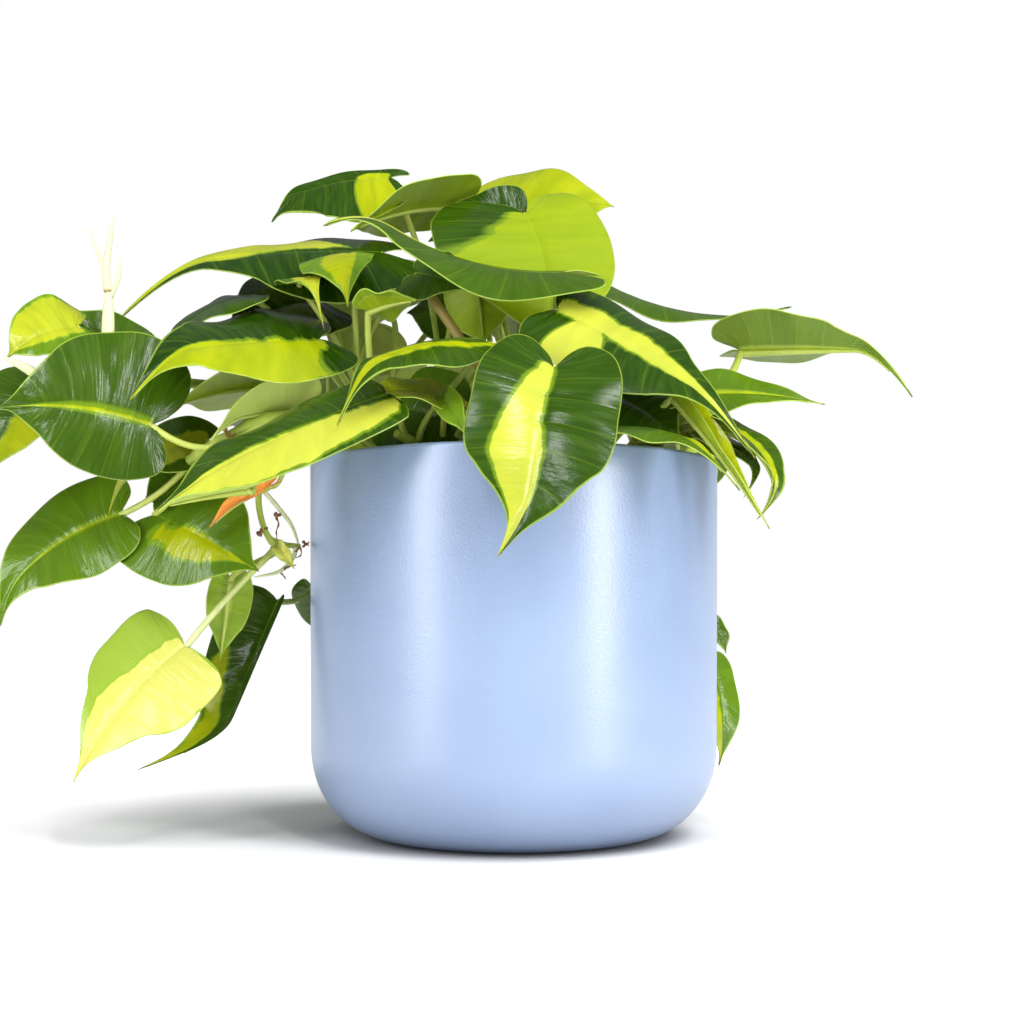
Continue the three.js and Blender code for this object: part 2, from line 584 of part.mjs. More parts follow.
function potGeometry() {
  const top = POT_RADIUS - POT_WALL;
  const profile = [[0, 0], ...potProfile(), [top + RIM_ROUND, POT_HEIGHT],
    [top + RIM_ROUND * 0.3, POT_HEIGHT - RIM_ROUND * 0.3], [top, POT_HEIGHT - RIM_ROUND],
    ...cavityProfile(0).reverse(), [0, POT_FLOOR]];
  return lathe(profile, 40);
}

function soilSolid() {
  const top = POT_RADIUS - POT_WALL - CLEARANCE
    - (POT_RADIUS - POT_LOW_RADIUS) * (POT_HEIGHT - SOIL_TOP) / (POT_HEIGHT - POT_CORNER_TOP);
  const profile = [[0, POT_FLOOR + CLEARANCE], ...cavityProfile(CLEARANCE), [top, SOIL_TOP], [0, SOIL_TOP]];
  let soil = toSolid(lathe(profile, 28));
  for (const stem of Object.values(STEMS)) {
    const [x, y] = stem.hole;
    const depth = SOIL_TOP - STEM_FOOT + 2;
    const hole = new THREE.CylinderGeometry(stem.radius + 2 * CLEARANCE, stem.radius + 2 * CLEARANCE, depth + 2, 8);
    hole.rotateX(Math.PI / 2);
    hole.translate(x, y, SOIL_TOP + 2 - (depth + 2) / 2);
    soil = soil.subtract(toSolid(hole));
  }
  return soil;
}

// Young shoot: a pale stalk that forks into thin pointed sheaths
function shootSolids(shoot) {
  return shoot.map(([points, radius]) => {
    const [first, ...rest] = points.map(vec);
    const all = [first, ...rest];
    return toSolid(tube(all, radius, 6));
  });
}

function stemSolid(stem) {
  const [x, y] = stem.hole;
  const points = [[x, y, STEM_FOOT], [x, y, SOIL_TOP], [x, y, STEM_STRAIGHT_TOP], ...stem.path];
  const curve = new StemCurve(points);
  const soilLevel = 1 / (points.length - 1);
  const steps = Math.round(1.4 * (points.length - 2));
  const line = Array.from({ length: steps + 1 }, (_, k) => curve.getPoint(
    soilLevel + (1 - soilLevel) * k / steps));
  const straight = new THREE.CylinderGeometry(stem.radius, stem.radius, SOIL_TOP + 1.5 - STEM_FOOT, 6);
  straight.rotateX(Math.PI / 2);
  straight.translate(x, y, (SOIL_TOP + 1.5 + STEM_FOOT) / 2);
  let solid = toSolid(straight);
  solid = solid.add(toSolid(tube(line, stem.radius * 0.98, 6)));
  for (const row of stem.leaves) {
    const leaf = new Leaf(row);
    solid = solid.add(toSolid(leaf.petiole(curve)));
    solid = solid.add(toSolid(leaf.geometry()));
    if (leaf.shape.knee) solid = solid.add(toSolid(leaf.kneeGeometry()));
  }
  for (const piece of shootSolids(stem.shoot ?? [])) solid = solid.add(piece);
  return solid;
}

function addMesh(group, name, geometry, material) {
  const mesh = new THREE.Mesh(geometry, material);
  mesh.name = name;
  group.add(mesh);
}

function plantMaterial(color) {
  return new THREE.MeshStandardMaterial({ color, roughness: 0.45, metalness: 0 });
}

function build() {
  const group = new THREE.Group();
  addMesh(group, 'pot', potGeometry(), new THREE.MeshStandardMaterial({
    color: '#9db8e0', roughness: 0.42, metalness: 0 }));
  addMesh(group, 'soil', toGeometry(soilSolid()), new THREE.MeshStandardMaterial({
    color: '#3a2b20', roughness: 0.95, metalness: 0 }));
  for (const [name, stem] of Object.entries(STEMS)) {
    addMesh(group, name, toGeometry(stemSolid(stem)), plantMaterial('#3f7a26'));
  }
  return group;
}

export default build();
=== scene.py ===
"""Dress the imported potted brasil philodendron: pot, potting mix and leafy stems."""

import itertools
import logging
import math
from dataclasses import dataclass, field
from enum import Enum

import bpy
import numpy as np
from numpy.typing import NDArray
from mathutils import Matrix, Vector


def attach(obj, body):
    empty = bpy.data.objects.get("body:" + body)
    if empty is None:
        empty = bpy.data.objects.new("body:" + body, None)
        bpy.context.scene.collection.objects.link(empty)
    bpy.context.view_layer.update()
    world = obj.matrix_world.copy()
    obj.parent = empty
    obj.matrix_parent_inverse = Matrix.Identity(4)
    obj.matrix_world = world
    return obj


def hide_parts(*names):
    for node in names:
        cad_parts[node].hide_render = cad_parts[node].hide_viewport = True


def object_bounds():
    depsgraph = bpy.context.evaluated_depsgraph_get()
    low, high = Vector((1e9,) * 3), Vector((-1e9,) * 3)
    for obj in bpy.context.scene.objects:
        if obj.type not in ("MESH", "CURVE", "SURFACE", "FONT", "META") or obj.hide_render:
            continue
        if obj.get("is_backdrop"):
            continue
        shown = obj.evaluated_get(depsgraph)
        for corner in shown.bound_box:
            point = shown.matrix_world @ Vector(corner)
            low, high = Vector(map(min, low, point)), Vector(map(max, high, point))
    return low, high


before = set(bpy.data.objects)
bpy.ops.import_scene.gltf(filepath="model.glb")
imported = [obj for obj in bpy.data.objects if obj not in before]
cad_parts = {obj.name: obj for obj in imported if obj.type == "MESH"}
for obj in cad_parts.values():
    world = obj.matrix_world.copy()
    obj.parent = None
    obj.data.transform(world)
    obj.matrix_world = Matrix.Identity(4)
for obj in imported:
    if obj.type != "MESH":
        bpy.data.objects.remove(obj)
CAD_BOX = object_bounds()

Floats = NDArray[np.float64]
Whole = NDArray[np.int64]
Pair = tuple[float, float]
Triple = tuple[float, float, float]
Colour = tuple[float, float, float, float]
Material = bpy.types.Material
Piece = bpy.types.Object
Socket = bpy.types.NodeSocket

LOG = logging.getLogger("philodendron")
MM = 0.001
BODY = "root"

# The photograph: its size in pixels, its focal length in pixels and its camera in mm
PHOTO_PIXELS = 1024
FOCAL_PIXELS = 1453
SENSOR_MM = 36.0
CAMERA_AT = (-0.6, -502.0, 71.0)
CAMERA_TILT = 0.077

# Pot, in mm
POT_RADIUS = 70.0
POT_HEIGHT = 126.0
POT_WALL = 4.5
POT_FLOOR = 6.0
POT_FOOT_RADIUS = 41.7
POT_CORNER_TOP = 30.2
POT_LOW_RADIUS = 68.8
RIM_ROUND = 1.4
SOIL_TOP = 112.0
SOIL_FLOOR = 60.0

# Plant, in mm
STEM_FOOT = 92.0
STEM_STRAIGHT_TOP = 116.5
STALK_RADIUS = 1.1
BLADE_THICKNESS = 0.45
SIDE_VEINS = 9
LOBE_STATION = 0.3
VEIN_ARC = 1.5
LOBE_DROP = 0.5
HOOK_START = 0.7
LAST_STALK = 0.96
KNUCKLE = 0.45
SPLASH_STATIONS = (0.12, 0.6, 1.0)
BLADE_VALUES = ("splash", "tone", "rib_mm", "rim_mm", "seed", "dry", "cream", "ragged")

# Depths on a blade in mm, for one at least RELIEF_FULL wide on each side of its rib
PUFF = 0.04
FLUTTER = 0.35
RIB_GROOVE = 0.3
RIB_GROOVE_WIDTH = 1.1
RELIEF_FULL = 15.0

# Steps along each kind of tube
STEM_STEPS = 90
STALK_STEPS = 36
RIB_STEPS = 24
SHOOT_STEPS = 30
ROOT_STEPS = 20


class Slot(Enum):
    """Material slots of a leafy piece, in the order that its mesh holds them."""

    UPPER = 0
    UNDER = 1


@dataclass(frozen=True)
class Splash:
    """Lime part of a blade: its two edges at the lobes, the middle and the tip.

    Edges count across the blade, from -1 at the left margin over 0 on the midrib to
    1 at the right margin. A patch is (across, along, half width, half length, gain):
    an oval that adds lime where its gain is 1 and takes it away where it is -1.
    """

    left: Triple
    right: Triple
    patches: tuple[tuple[float, float, float, float, float], ...] = ()


GREEN = Splash((2, 2, 2), (2, 2, 2))
LIME = Splash((-3, -3, -3), (3, 3, 3))


@dataclass(frozen=True)
class Leaf:
    """One leaf: where its stalk meets the blade, its tip, the way it faces, its width.

    Lengths are in mm. at is the place of its stalk on the stem, via a point that the
    stalk bends towards, hook the droop of the tip, arch to right bend and shape the
    blade, stalk is the stalk's radius, and the rest set colours.
    """

    base: Triple
    tip: Triple
    face: Triple
    width: float
    splash: Splash = GREEN
    at: float = 0.9
    arch: float = 0.12
    sweep: float = 0.0
    fold: float = 8.0
    fold_left: float | None = None
    fold_right: float | None = None
    curl: float = -10.0
    wave: float = 1.0
    waves: float = 1.4
    drip: float = 0.1
    full: float = 0.5
    ears: float = 1.0
    left: float = 1.0
    right: float = 1.0
    hook: Triple = (0, 0, 0)
    via: Triple | None = None
    stalk: float = STALK_RADIUS
    tone: float = 0.4
    cream: float = 0.0
    dry: float = 0.0
    bleach: float = 0.45
    ragged: float = 1.0
    tan: float = 0.0


@dataclass(frozen=True)
class Stem:
    """One stem: its hole in the mix, radius, the points it grows through, its leaves."""

    hole: Pair
    radius: float
    path: tuple[Triple, ...]
    leaves: tuple[Leaf, ...]
    shoot: tuple[tuple[tuple[Triple, ...], float], ...] = ()
    roots: tuple[tuple[tuple[Triple, ...], float], ...] = ()


STEMS: dict[str, Stem] = {
    "front_stem": Stem((10, -34), 2.1, ((11, -38, 121), (12, -44, 128), (13, -50, 133)), (
        Leaf((-33, -24, 188), (-16, -33, 180), (0.2, -0.95, 0.2), 22, at=0.5, arch=0.1, full=0.8,
             via=(-8, -38, 150), stalk=1.7, tone=0.2, tan=0.7),
        Leaf((15, -38, 185), (-60, -54, 196), (0, -0.38, 0.93), 34, Splash((-0.9, -0.7, -0.8),
             (-0.5, -0.3, 0.3)), at=0.8, arch=-0.11, fold=-5, curl=-20, full=0.7, right=1.2,
             hook=(-3, 0, -15), via=(12, -36, 160), tone=0.25, cream=0.5),
        Leaf((12, -70, 148), (-5, -87, 90), (-0.12, -1, 0.12), 44, Splash((-0.02, -0.5, -1),
             (0.03, -0.03, 0.3)), at=0.95, arch=0.08, fold=10, fold_left=20, curl=-18, drip=0.2,
             full=1.8, hook=(-7, 0, -3), tone=0.1, cream=0.3, ragged=0.5),
        Leaf((14, -49, 170), (73, -66, 121), (0.2, -0.76, 0.62), 44, Splash((-0.02, -0.04, -0.3),
             (0.4, 0.42, 0.5), ((-0.5, 0.48, 0.62, 0.09, 1),)), at=0.85, arch=0.02, fold=2, curl=-24,
             drip=0.18, ears=0.5, hook=(4, -2, -13), tone=0.05, cream=0.3, bleach=1.2),
    )),
    "right_stem": Stem((30, -24), 2, ((33, -27, 122), (40, -32, 128), (49, -37, 131)), (
        Leaf((31, -62, 131), (66, -80, 110), (0.2, -0.28, 0.94), 26, Splash((2, 2, 2), (2, 2, 2),
             ((0.9, 0.9, 0.6, 0.25, 1),)), at=0.45, arch=0.1, fold=0, curl=-18, drip=0.25,
             hook=(3, -2, -6)),
        Leaf((31, -43, 144), (52, -55, 127), (0.1, -0.75, 0.65), 28, at=0.5, arch=0.08, full=0.8,
             tone=0.1),
        Leaf((78, -8, 165), (132, -26, 146), (0.05, 0, 1), 44, Splash((-0.05, -0.05, -0.05),
             (0.05, 0.04, 0.03)), at=1, arch=0.01, fold_left=38, fold_right=8, curl=-16, drip=0.25,
             full=0.6, left=0.85, hook=(2, -2, -16), via=(73, -18, 150), stalk=1.3, tone=0.5,
             ragged=0.15),
        Leaf((47, -34, 144), (102, -30, 143), (0, -0.38, 0.92), 36, Splash((-0.15, -0.12, -0.1),
             (0.15, 0.1, 0.1)), at=1, arch=0.05, fold_left=4, fold_right=30, curl=-14, wave=1.8,
             waves=2.2, drip=0.2, full=1, right=0.65, via=(51, -32, 140), tone=0.6, ragged=0.3),
        Leaf((61, -43, 135), (75, -54, 103), (0.7, -0.5, 0.5), 20, Splash((-0.25, -0.3, -0.5),
             (0.25, 0.3, 0.5)), at=0.75, arch=0.2, fold=20, drip=0.15, full=0.8, hook=(-8, -2, -1),
             via=(56, -34, 133), tone=0.2),
        Leaf((50, -52, 142), (78, -60, 100), (0.5, -0.6, 0.6), 12, LIME, at=0.6, arch=0.03, fold=50,
             curl=0, drip=0.35, via=(41, -44, 134)),
        Leaf((48, -31, 136), (72, -40, 118), (0.25, -0.55, 0.8), 18, LIME, at=0.7, full=0.7),
        Leaf((60, -38, 130), (71, -54, 110), (0.3, -0.5, 0.8), 18, at=0.95, arch=0.16, drip=0.25,
             hook=(-8, -2, -3), tone=0.5),
    )),
    "top_stem": Stem((4, 6), 2.1, ((3, 6, 128), (2, 8, 144), (3, 10, 158)), (
        Leaf((4, 10, 218), (12, -24, 159), (0.15, -0.9, 0.4), 62, Splash((-1.5, -1.5, -1.5),
             (1.5, 1.5, 1.5), ((-1, 0.12, 0.9, 0.46, -1), (-0.6, -0.1, 0.6, 0.25, -1))), at=0.95,
             arch=0.06, sweep=0.04, fold=6, curl=-8, drip=0.12, full=0.95, left=1.2, right=0.84,
             tone=0.08, cream=-0.5, ragged=0.6),
        Leaf((4, 13, 218), (-31, 14, 209), (0.05, -0.95, 0.3), 27, arch=0.04, drip=0.02, full=0.9,
             ears=0.4, tone=0.05),
        Leaf((-13, 38, 224), (38, 35, 228), (0, -0.78, 0.62), 50, LIME, at=0.97, arch=0.1, fold=5,
             curl=-20, drip=0.05, full=0.8, via=(-6, 18, 190), cream=-0.1),
        Leaf((-14, 0, 196), (-10, -12, 166), (0.3, 0.9, 0.25), 27, LIME, at=0.8, arch=0.05, fold=10,
             full=0.9, cream=-0.4),
        Leaf((34, 22, 195), (98, 4, 183), (0.1, -0.25, 0.97), 32, at=0.85, arch=-0.08, fold=-4,
             curl=-20, drip=0.15, hook=(3, 0, 2), tone=0.35),
    )),
    "upper_left_stem": Stem((-18, 0), 2, ((-20, 0, 128), (-24, 2, 143), (-28, 4, 156)), (
        Leaf((-46, 20, 234.5), (-87, 10, 215), (-0.1, -0.75, 0.6), 42, Splash((2, 2, 2), (2, 2, 2),
             ((0.3, 0.4, 0.8, 0.15, 1),)), at=0.8, arch=0, sweep=-0.1, fold=0, fold_left=4, drip=0.01,
             full=1, left=0.25, right=1.1, hook=(0, 0, -6), via=(-30, 20, 205), tone=0.05),
        Leaf((-24, 28, 226), (-58, 4, 210), (0, 0.4, 0.92), 46, at=1, arch=0.06, fold=0, full=0.9,
             left=0.65, via=(-17, 18, 200), tone=1),
        Leaf((-13, 28, 184), (-40, 34, 187), (0, -0.8, 0.5), 34, at=0.7, arch=0.08, full=0.8, tone=0.2),
    )),
    "left_front_stem": Stem((-22, -34), 2, ((-24, -38, 121), (-30, -43, 127), (-37, -48, 131)), (
        Leaf((-39, -64, 141), (-103, -86, 103), (-0.2, -0.66, 0.72), 35, Splash((0.5, 0.05, -0.3),
             (0.5, 0.93, 1), ((0.7, 0, 0.9, 0.26, -1),)), arch=0.03, fold=2, curl=-25, full=2,
             ears=0.15, right=0.9, hook=(-1, 0, -3), tone=0.1, cream=0.35),
        Leaf((-14, -54, 160), (-52, -80, 129), (-0.12, -0.45, 0.88), 31, Splash((0.8, -0.1, -0.9),
             (0.9, 0.2, 0.6)), at=0.8, arch=0.06, fold=-6, curl=-20, hook=(-1, -2, -14), tone=0.15),
        Leaf((-16, -48, 139.5), (-47, -62, 140.5), (-0.1, -0.55, 0.8), 24, LIME, at=0.55, arch=0.1,
             full=0.9, tone=0.9, cream=0.1),
        Leaf((-21.5, -59, 140.5), (-13.5, -70, 127), (-0.3, -0.8, 0.4), 9, at=0.5, arch=0.05, fold=20,
             full=0.2, tone=1.2),
        Leaf((-36, -34, 141), (-12, -41, 130), (0, -0.85, 0.45), 40, at=0.7, arch=0.1, full=0.9,
             left=0.95, right=0.95, tone=0.3),
    )),
    "left_mid_stem": Stem((-40, -8), 2.1, ((-43, -9, 126), (-49, -9, 140), (-56, -8, 152)), (
        Leaf((-47, 2, 202), (-135, -14, 174), (-0.1, -0.5, 0.86), 42, Splash((1.5, -1, -1),
             (-0.3, -0.2, 0.5)), at=1, arch=0.03, fold_left=5, fold_right=-8, curl=-18, drip=0.34,
             full=1, right=1.35, hook=(-6, 0, -17), tone=0, cream=0.1),
        Leaf((-56, -14, 197), (-53.5, -40, 172.5), (-0.05, -0.6, 0.8), 34, Splash((-0.2, -0.5, -1),
             (0.1, 0.3, 0.6)), at=0.93, arch=0.16, fold=-2, curl=-20, full=0.8, ears=0.45, right=0.5,
             hook=(0, -1, -5), via=(-54, -12, 180), tone=0.9),
        Leaf((-64, -32, 164), (-119, -57, 140), (-0.06, -0.68, 0.72), 44, Splash((0.1, 0, -0.3),
             (0.85, 1.1, 1.1), ((0.75, 0.2, 0.5, 0.2, -1),)), arch=0.02, fold=2, curl=-18, drip=0.12,
             full=0.8, left=1.4, hook=(-3, 0, -14), via=(-60, -22, 158), tone=0, cream=-0.15),
        Leaf((-73, -18, 186), (-61, -40, 165), (-0.1, -0.4, 0.9), 17, Splash((-0.5, -0.5, -1),
             (1, 1, 1)), at=0.8, arch=0.2, fold=4, drip=0.4, full=0.8, ears=0.45, hook=(1, -1, -8),
             via=(-60, -10, 170), cream=0.15),
        Leaf((-68, 2, 184), (-99, -10, 169), (0, -0.7, 0.72), 48, at=0.87, arch=0.1, ears=0.7, tone=0),
        Leaf((-91, -8, 184), (-117, -20, 164), (-0.35, -0.45, 0.82), 32, at=0.74, arch=0.1, fold=0,
             full=0.9, ears=0.45, via=(-72, 0, 172), tone=0.1),
        Leaf((-81, -10, 152), (-112, -30, 142), (0, 0.35, 0.94), 38, LIME, at=0.68, arch=0.06, tone=0.9,
             cream=-0.3),
        Leaf((-70, -27, 142), (-97, -42, 129), (0.1, 0.5, 0.85), 32, LIME, at=0.5, arch=0.04, fold=14,
             hook=(-2, 0, -6), cream=0.55),
        Leaf((-47, -40, 172), (-31, -46, 174), (0, 0.3, 0.95), 18, Splash((-0.6, -0.6, -0.6),
             (0.3, 0.3, 0.3)), at=0.64, arch=0.05, wave=1.5, via=(-48, -34, 158), tone=1),
        Leaf((-50, 18, 180), (-64, 12, 163), (0, 0.9, 0.4), 36, LIME, at=0.55, arch=0.05, cream=0.45),
    )),
    "left_trailing_stem": Stem((-42, -26), 2.1, ((-47, -28, 124), (-60, -32, 135), (-76, -34, 138),
        (-92, -34, 132), (-106, -32, 124)), (
        Leaf((-80, -30, 116), (-98, -36, 102), (0, -0.7, 0.7), 8, LIME, at=0.62, arch=0.08, fold=35,
             curl=0, stalk=0.8, dry=1),
        Leaf((-115, -44, 134), (-161, -54, 138), (-0.08, -0.95, 0.22), 46,
             Splash((-0.025, -0.03, -0.03), (0.02, 0.025, 0.04)), at=0.75, arch=0.05, sweep=-0.05,
             fold=3, curl=-14, drip=0.12, full=0.7, left=1.3, right=0.9, via=(-98, -41, 121), tone=0.22,
             bleach=0.7, ragged=0.12),
        Leaf((-129, -28, 107), (-164, -38, 70), (-0.15, -0.85, 0.5), 38, Splash((-0.03, -0.03, -0.03),
             (0.02, 0.02, 0.02)), at=1, arch=0.03, sweep=-0.1, fold=3, ears=0.6, hook=(2, 0, -5),
             via=(-115, -27, 113), tone=0.7, bleach=0.8, ragged=0.1),
        Leaf((-118, -27, 107), (-82, -34, 88), (0.1, -0.9, 0.42), 42, Splash((2, 2, 2), (2, 2, 2),
             ((-0.25, 0.72, 0.28, 0.28, 1),)), arch=0.06, fold=2, full=0.8, ears=0.7,
             via=(-107, -34, 114), tone=0.6, bleach=0.6),
        Leaf((-105, -12, 120), (-124, -18, 112), (-0.05, -0.9, 0.4), 30, at=0.97, arch=0.08, full=0.7,
             tone=0.3),
        Leaf((-102, -22, 132), (-131, -34, 106), (-0.1, -0.85, 0.5), 24, Splash((-0.3, -0.4, -1),
             (0.3, 0.5, 1)), at=0.8, arch=0.1, drip=0.3, full=0.8, hook=(2, -1, -9),
             via=(-103, -27, 126), tone=0.3, cream=0.1),
        Leaf((-85, -42, 114), (-111, -46, 108), (0, -0.5, 0.85), 11, LIME, at=0.8, arch=0.02, fold=60,
             curl=0, cream=0.6),
    ), roots=(
        (((-93.5, -36, 134.2), (-92.5, -37, 132.1), (-91.2, -37, 131.1), (-90.1, -36, 132.2)), 0.7),
        (((-96.5, -38, 113.6), (-95.2, -38, 114.2), (-93.6, -38, 115.2), (-92.2, -37, 114.9)), 0.6),
    )),
    "dropping_stem": Stem((-46, -6), 1.2, ((-50, -8, 126), (-62, -14, 136), (-74, -18, 135),
        (-82, -20, 124), (-85, -20, 112), (-81, -19, 99), (-72, -14, 97)), (
        Leaf((-78, -22, 96), (-72, -25, 89), (0, -0.9, 0.4), 6, LIME, arch=0.1, fold=40, stalk=0.7,
             cream=1),
        Leaf((-105, -36, 64), (-137, -46, 22), (-0.2, -0.85, 0.45), 44, Splash((-0.2, -0.3, -1),
             (1, 1, 1), ((0.95, 0.05, 0.4, 0.24, -1),)), at=0.93, arch=0.06, sweep=-0.03, fold=2,
             drip=0.33, full=1.35, ears=0.25, left=1.05, right=0.98, via=(-93, -28, 81), stalk=1.15,
             tone=1.75, cream=1, bleach=1, ragged=0.6),
        Leaf((-94, -18, 85), (-97, -20, 59), (0, 0.95, 0.2), 15, Splash((-0.1, -0.1, -0.1),
             (0.1, 0.1, 0.1)), at=0.92, arch=0.04, drip=0.2, full=0.9, tone=1),
    ), shoot=(
        (((-84, -20, 116), (-79, -17, 110), (-74.5, -16, 104), (-72, -14.5, 97)), 0.8),
        (((-73, -15, 97), (-74, -16, 93), (-78, -18, 88.5), (-86, -20, 86.5)), 0.8),
    ), roots=(
        (((-79.7, -16.5, 106.8), (-78.6, -17.5, 104.4), (-79.4, -17, 102), (-79, -18, 99.3)), 0.35),
        (((-79.8, -18, 107.7), (-78.8, -18, 107.2), (-78.1, -16, 107.8)), 0.8),
        (((-85, -19, 100.7), (-83.4, -20, 102.2), (-81.9, -20, 102.9)), 1),
        (((-70.8, -14.5, 98.8), (-69.9, -14, 97.5), (-69, -13, 98.6)), 0.5),
        (((-70.8, -14.5, 96.8), (-69.7, -15, 98.1), (-68.9, -14, 97.2)), 0.4),
        (((-73.2, -16, 95.1), (-71.7, -15, 96.5), (-71.4, -15, 94.1), (-73, -15.5, 93.1)), 0.35),
        (((-76.5, -18, 89.3), (-74.9, -18, 90), (-72.7, -17, 90.7)), 0.4),
        (((-78.2, -18, 88.6), (-76.9, -18, 87.3), (-76, -17, 86)), 0.35),
    )),
    "back_left_stem": Stem((-30, 24), 2, ((-36, 26, 126), (-52, 24, 138), (-72, 19, 149),
        (-94, 10, 154), (-114, -6, 154), (-130, -22, 154), (-137, -34, 156)), (
        Leaf((-143, -33, 168), (-163, -41, 156), (-0.2, -0.9, 0.35), 27, Splash((-0.9, -0.9, -0.9),
             (0.35, 0.35, 0.6)), arch=0.14, fold=4, full=0.8, ears=1.5, left=1.25, right=0.85, tone=0.8,
             cream=0.1),
        Leaf((-157, -26, 150), (-170, -36, 118), (-0.3, -0.9, 0.2), 36, Splash((1, 0, 0), (1, 1, 1)),
             at=1, arch=0.08, tone=0.3),
        Leaf((-124, -14, 155), (-152, -24, 176), (0.1, -0.85, 0.5), 48, at=0.8, arch=0.06, fold=2,
             full=0.9, left=0.55, tone=0.25),
    ), shoot=(
        (((-135, -33, 155), (-135, -35, 160), (-132, -35.5, 165)), 1.8),
        (((-132, -35.5, 164), (-132, -35.5, 172), (-132, -35.5, 181)), 2.1),
        (((-132, -35.5, 179), (-133, -35.5, 187), (-131, -35.5, 204)), 1.4),
        (((-132.5, -35.5, 179), (-134, -35.5, 187), (-139, -35.5, 200)), 1),
        (((-131.5, -35.5, 177), (-129, -36, 183), (-128, -36, 191)), 0.8),
        (((-136, -33, 155), (-147, -41, 147), (-155, -42, 152), (-163, -42, 156)), 2),
    )),
    "back_stem": Stem((8, 38), 2.1, ((8, 42, 124), (9, 47, 136)), (
        Leaf((8, 60, 196), (16, 104, 172), (0.05, 0.55, 0.83), 50, Splash((-0.3, -0.3, -0.5),
             (0.1, 0.3, 0.5)), at=1),
        Leaf((-8, 66, 172), (-20, 106, 136), (-0.15, 0.8, 0.6), 46, Splash((0, 0, 0), (1, 1, 1)),
             at=0.85),
        Leaf((26, 66, 168), (34, 104, 132), (0.2, 0.8, 0.55), 42, Splash((-0.3, -0.5, -0.5),
             (0.1, 0.1, 0.5))),
        Leaf((4, 74, 150), (8, 100, 104), (0, 0.95, 0.3), 42, at=0.8),
        Leaf((-8, 56, 214), (-26, 90, 204), (-0.1, 0.3, 0.95), 42, LIME, at=0.75, via=(-4, 46, 170)),
    )),
    "back_right_stem": Stem((34, 18), 2, ((38, 21, 124), (44, 26, 134), (50, 31, 140)), (
        Leaf((44, 46, 164), (56, 84, 138), (0.3, 0.65, 0.7), 40, Splash((-0.2, -0.2, -0.2),
             (0.6, 0.6, 0.6)), at=0.98),
        Leaf((62, 50, 146), (66, 88, 112), (0.35, 0.85, 0.4), 42),
    )),
    "right_trailing_stem": Stem((50, 6), 1.8, ((56, 14, 124), (66, 28, 135), (73, 38, 134),
        (75, 43, 122), (73, 44, 100), (71, 43, 75)), (
        Leaf((73, 34, 56), (74, 27, 20), (0.45, -0.85, 0.1), 16, Splash((-1, -1, -1),
             (-0.2, -0.2, -0.2)), at=0.97, tone=0.8),
        Leaf((74, 42, 72), (79, 41, 60), (0.4, -0.9, 0.1), 8, at=0.85),
        Leaf((60, 58, 118), (46, 76, 86), (0.4, 0.9, 0.1), 36, Splash((-0.4, -0.4, -0.4),
             (0.3, 0.3, 0.3)), at=0.7),
        Leaf((60, 54, 88), (46, 70, 50), (0.45, 0.88, 0.1), 34, at=0.85),
    )),
    "left_trailing_back_stem": Stem((-46, 18), 1.8, ((-52, 24, 126), (-62, 33, 136), (-70, 39, 132),
        (-73, 41, 118), (-72, 40, 100), (-71, 38, 88)), (
        Leaf((-82, 4, 79), (-127, -8, 22), (-0.3, -0.9, 0.3), 38, Splash((1.5, -0.8, -1),
             (-1.5, -0.5, -0.4)), at=0.97, arch=0.02, fold_left=6, fold_right=-30, curl=-14, drip=0.05,
             full=1, ears=0.3, right=0.1, hook=(-24, -3, 0), via=(-74, 22, 78), tone=0.2),
        Leaf((-74, 34, 84), (-71, 42, 68), (-0.5, -0.8, 0.1), 18, at=0.97, full=0.8, tone=0.5),
        Leaf((-54, 58, 140), (-62, 88, 104), (-0.4, 0.85, 0.3), 40, Splash((-0.3, -0.3, -0.3),
             (0.2, 0.5, 0.5)), at=0.6),
        Leaf((-52, 50, 174), (-68, 86, 140), (-0.3, 0.75, 0.6), 46, Splash((-1, -1, -1),
             (-0.1, -0.1, 0.3)), at=0.5),
        Leaf((-72, 24, 172), (-108, 46, 148), (-0.3, 0.2, 0.93), 42, at=0.55),
        Leaf((-26, 44, 204), (-50, 76, 194), (-0.2, 0.4, 0.9), 42, Splash((-0.2, -0.2, -0.2),
             (0.6, 0.6, 0.6)), at=0.45),
    )),
}  # fmt: skip


def linear(code: str) -> Colour:
    """Turn an sRGB hex colour to linear light.

    Args:
        code: six hex digits with a leading hash.

    Returns:
        Red, green and blue in linear light, and 1 for alpha.
    """
    parts = np.array([int(code[k : k + 2], 16) for k in (1, 3, 5)]) / 255
    low = parts / 12.92
    high = ((parts + 0.055) / 1.055) ** 2.4
    red, green, blue = np.where(parts <= 0.04045, low, high)
    return float(red), float(green), float(blue), 1.0


def unit(vectors: Floats) -> Floats:
    """Scale vectors to length 1."""
    length = np.linalg.norm(vectors, axis=-1, keepdims=True)
    return vectors / np.maximum(length, 1e-9)


def smooth_curve(points: Floats, t: Floats) -> Floats:
    """Run a Catmull-Rom curve through evenly spaced points, with straight ends.

    Args:
        points: the points, one a row.
        t: places on the curve, from 0 at the first point to 1 at the last.

    Returns:
        The curve's points, one a row.
    """
    last = len(points) - 1
    u = np.clip(t, 0, 1) * last
    k = np.minimum(u.astype(int), last - 1)
    f = (u - k)[:, None]
    padded = np.vstack([2 * points[0] - points[1], points, 2 * points[-1] - points[-2]])
    p0, p1, p2, p3 = (padded[k + n] for n in range(4))
    return 0.5 * (
        2 * p1
        + (p2 - p0) * f
        + (2 * p0 - 5 * p1 + 4 * p2 - p3) * f**2
        + (3 * p1 - p0 - 3 * p2 + p3) * f**3
    )


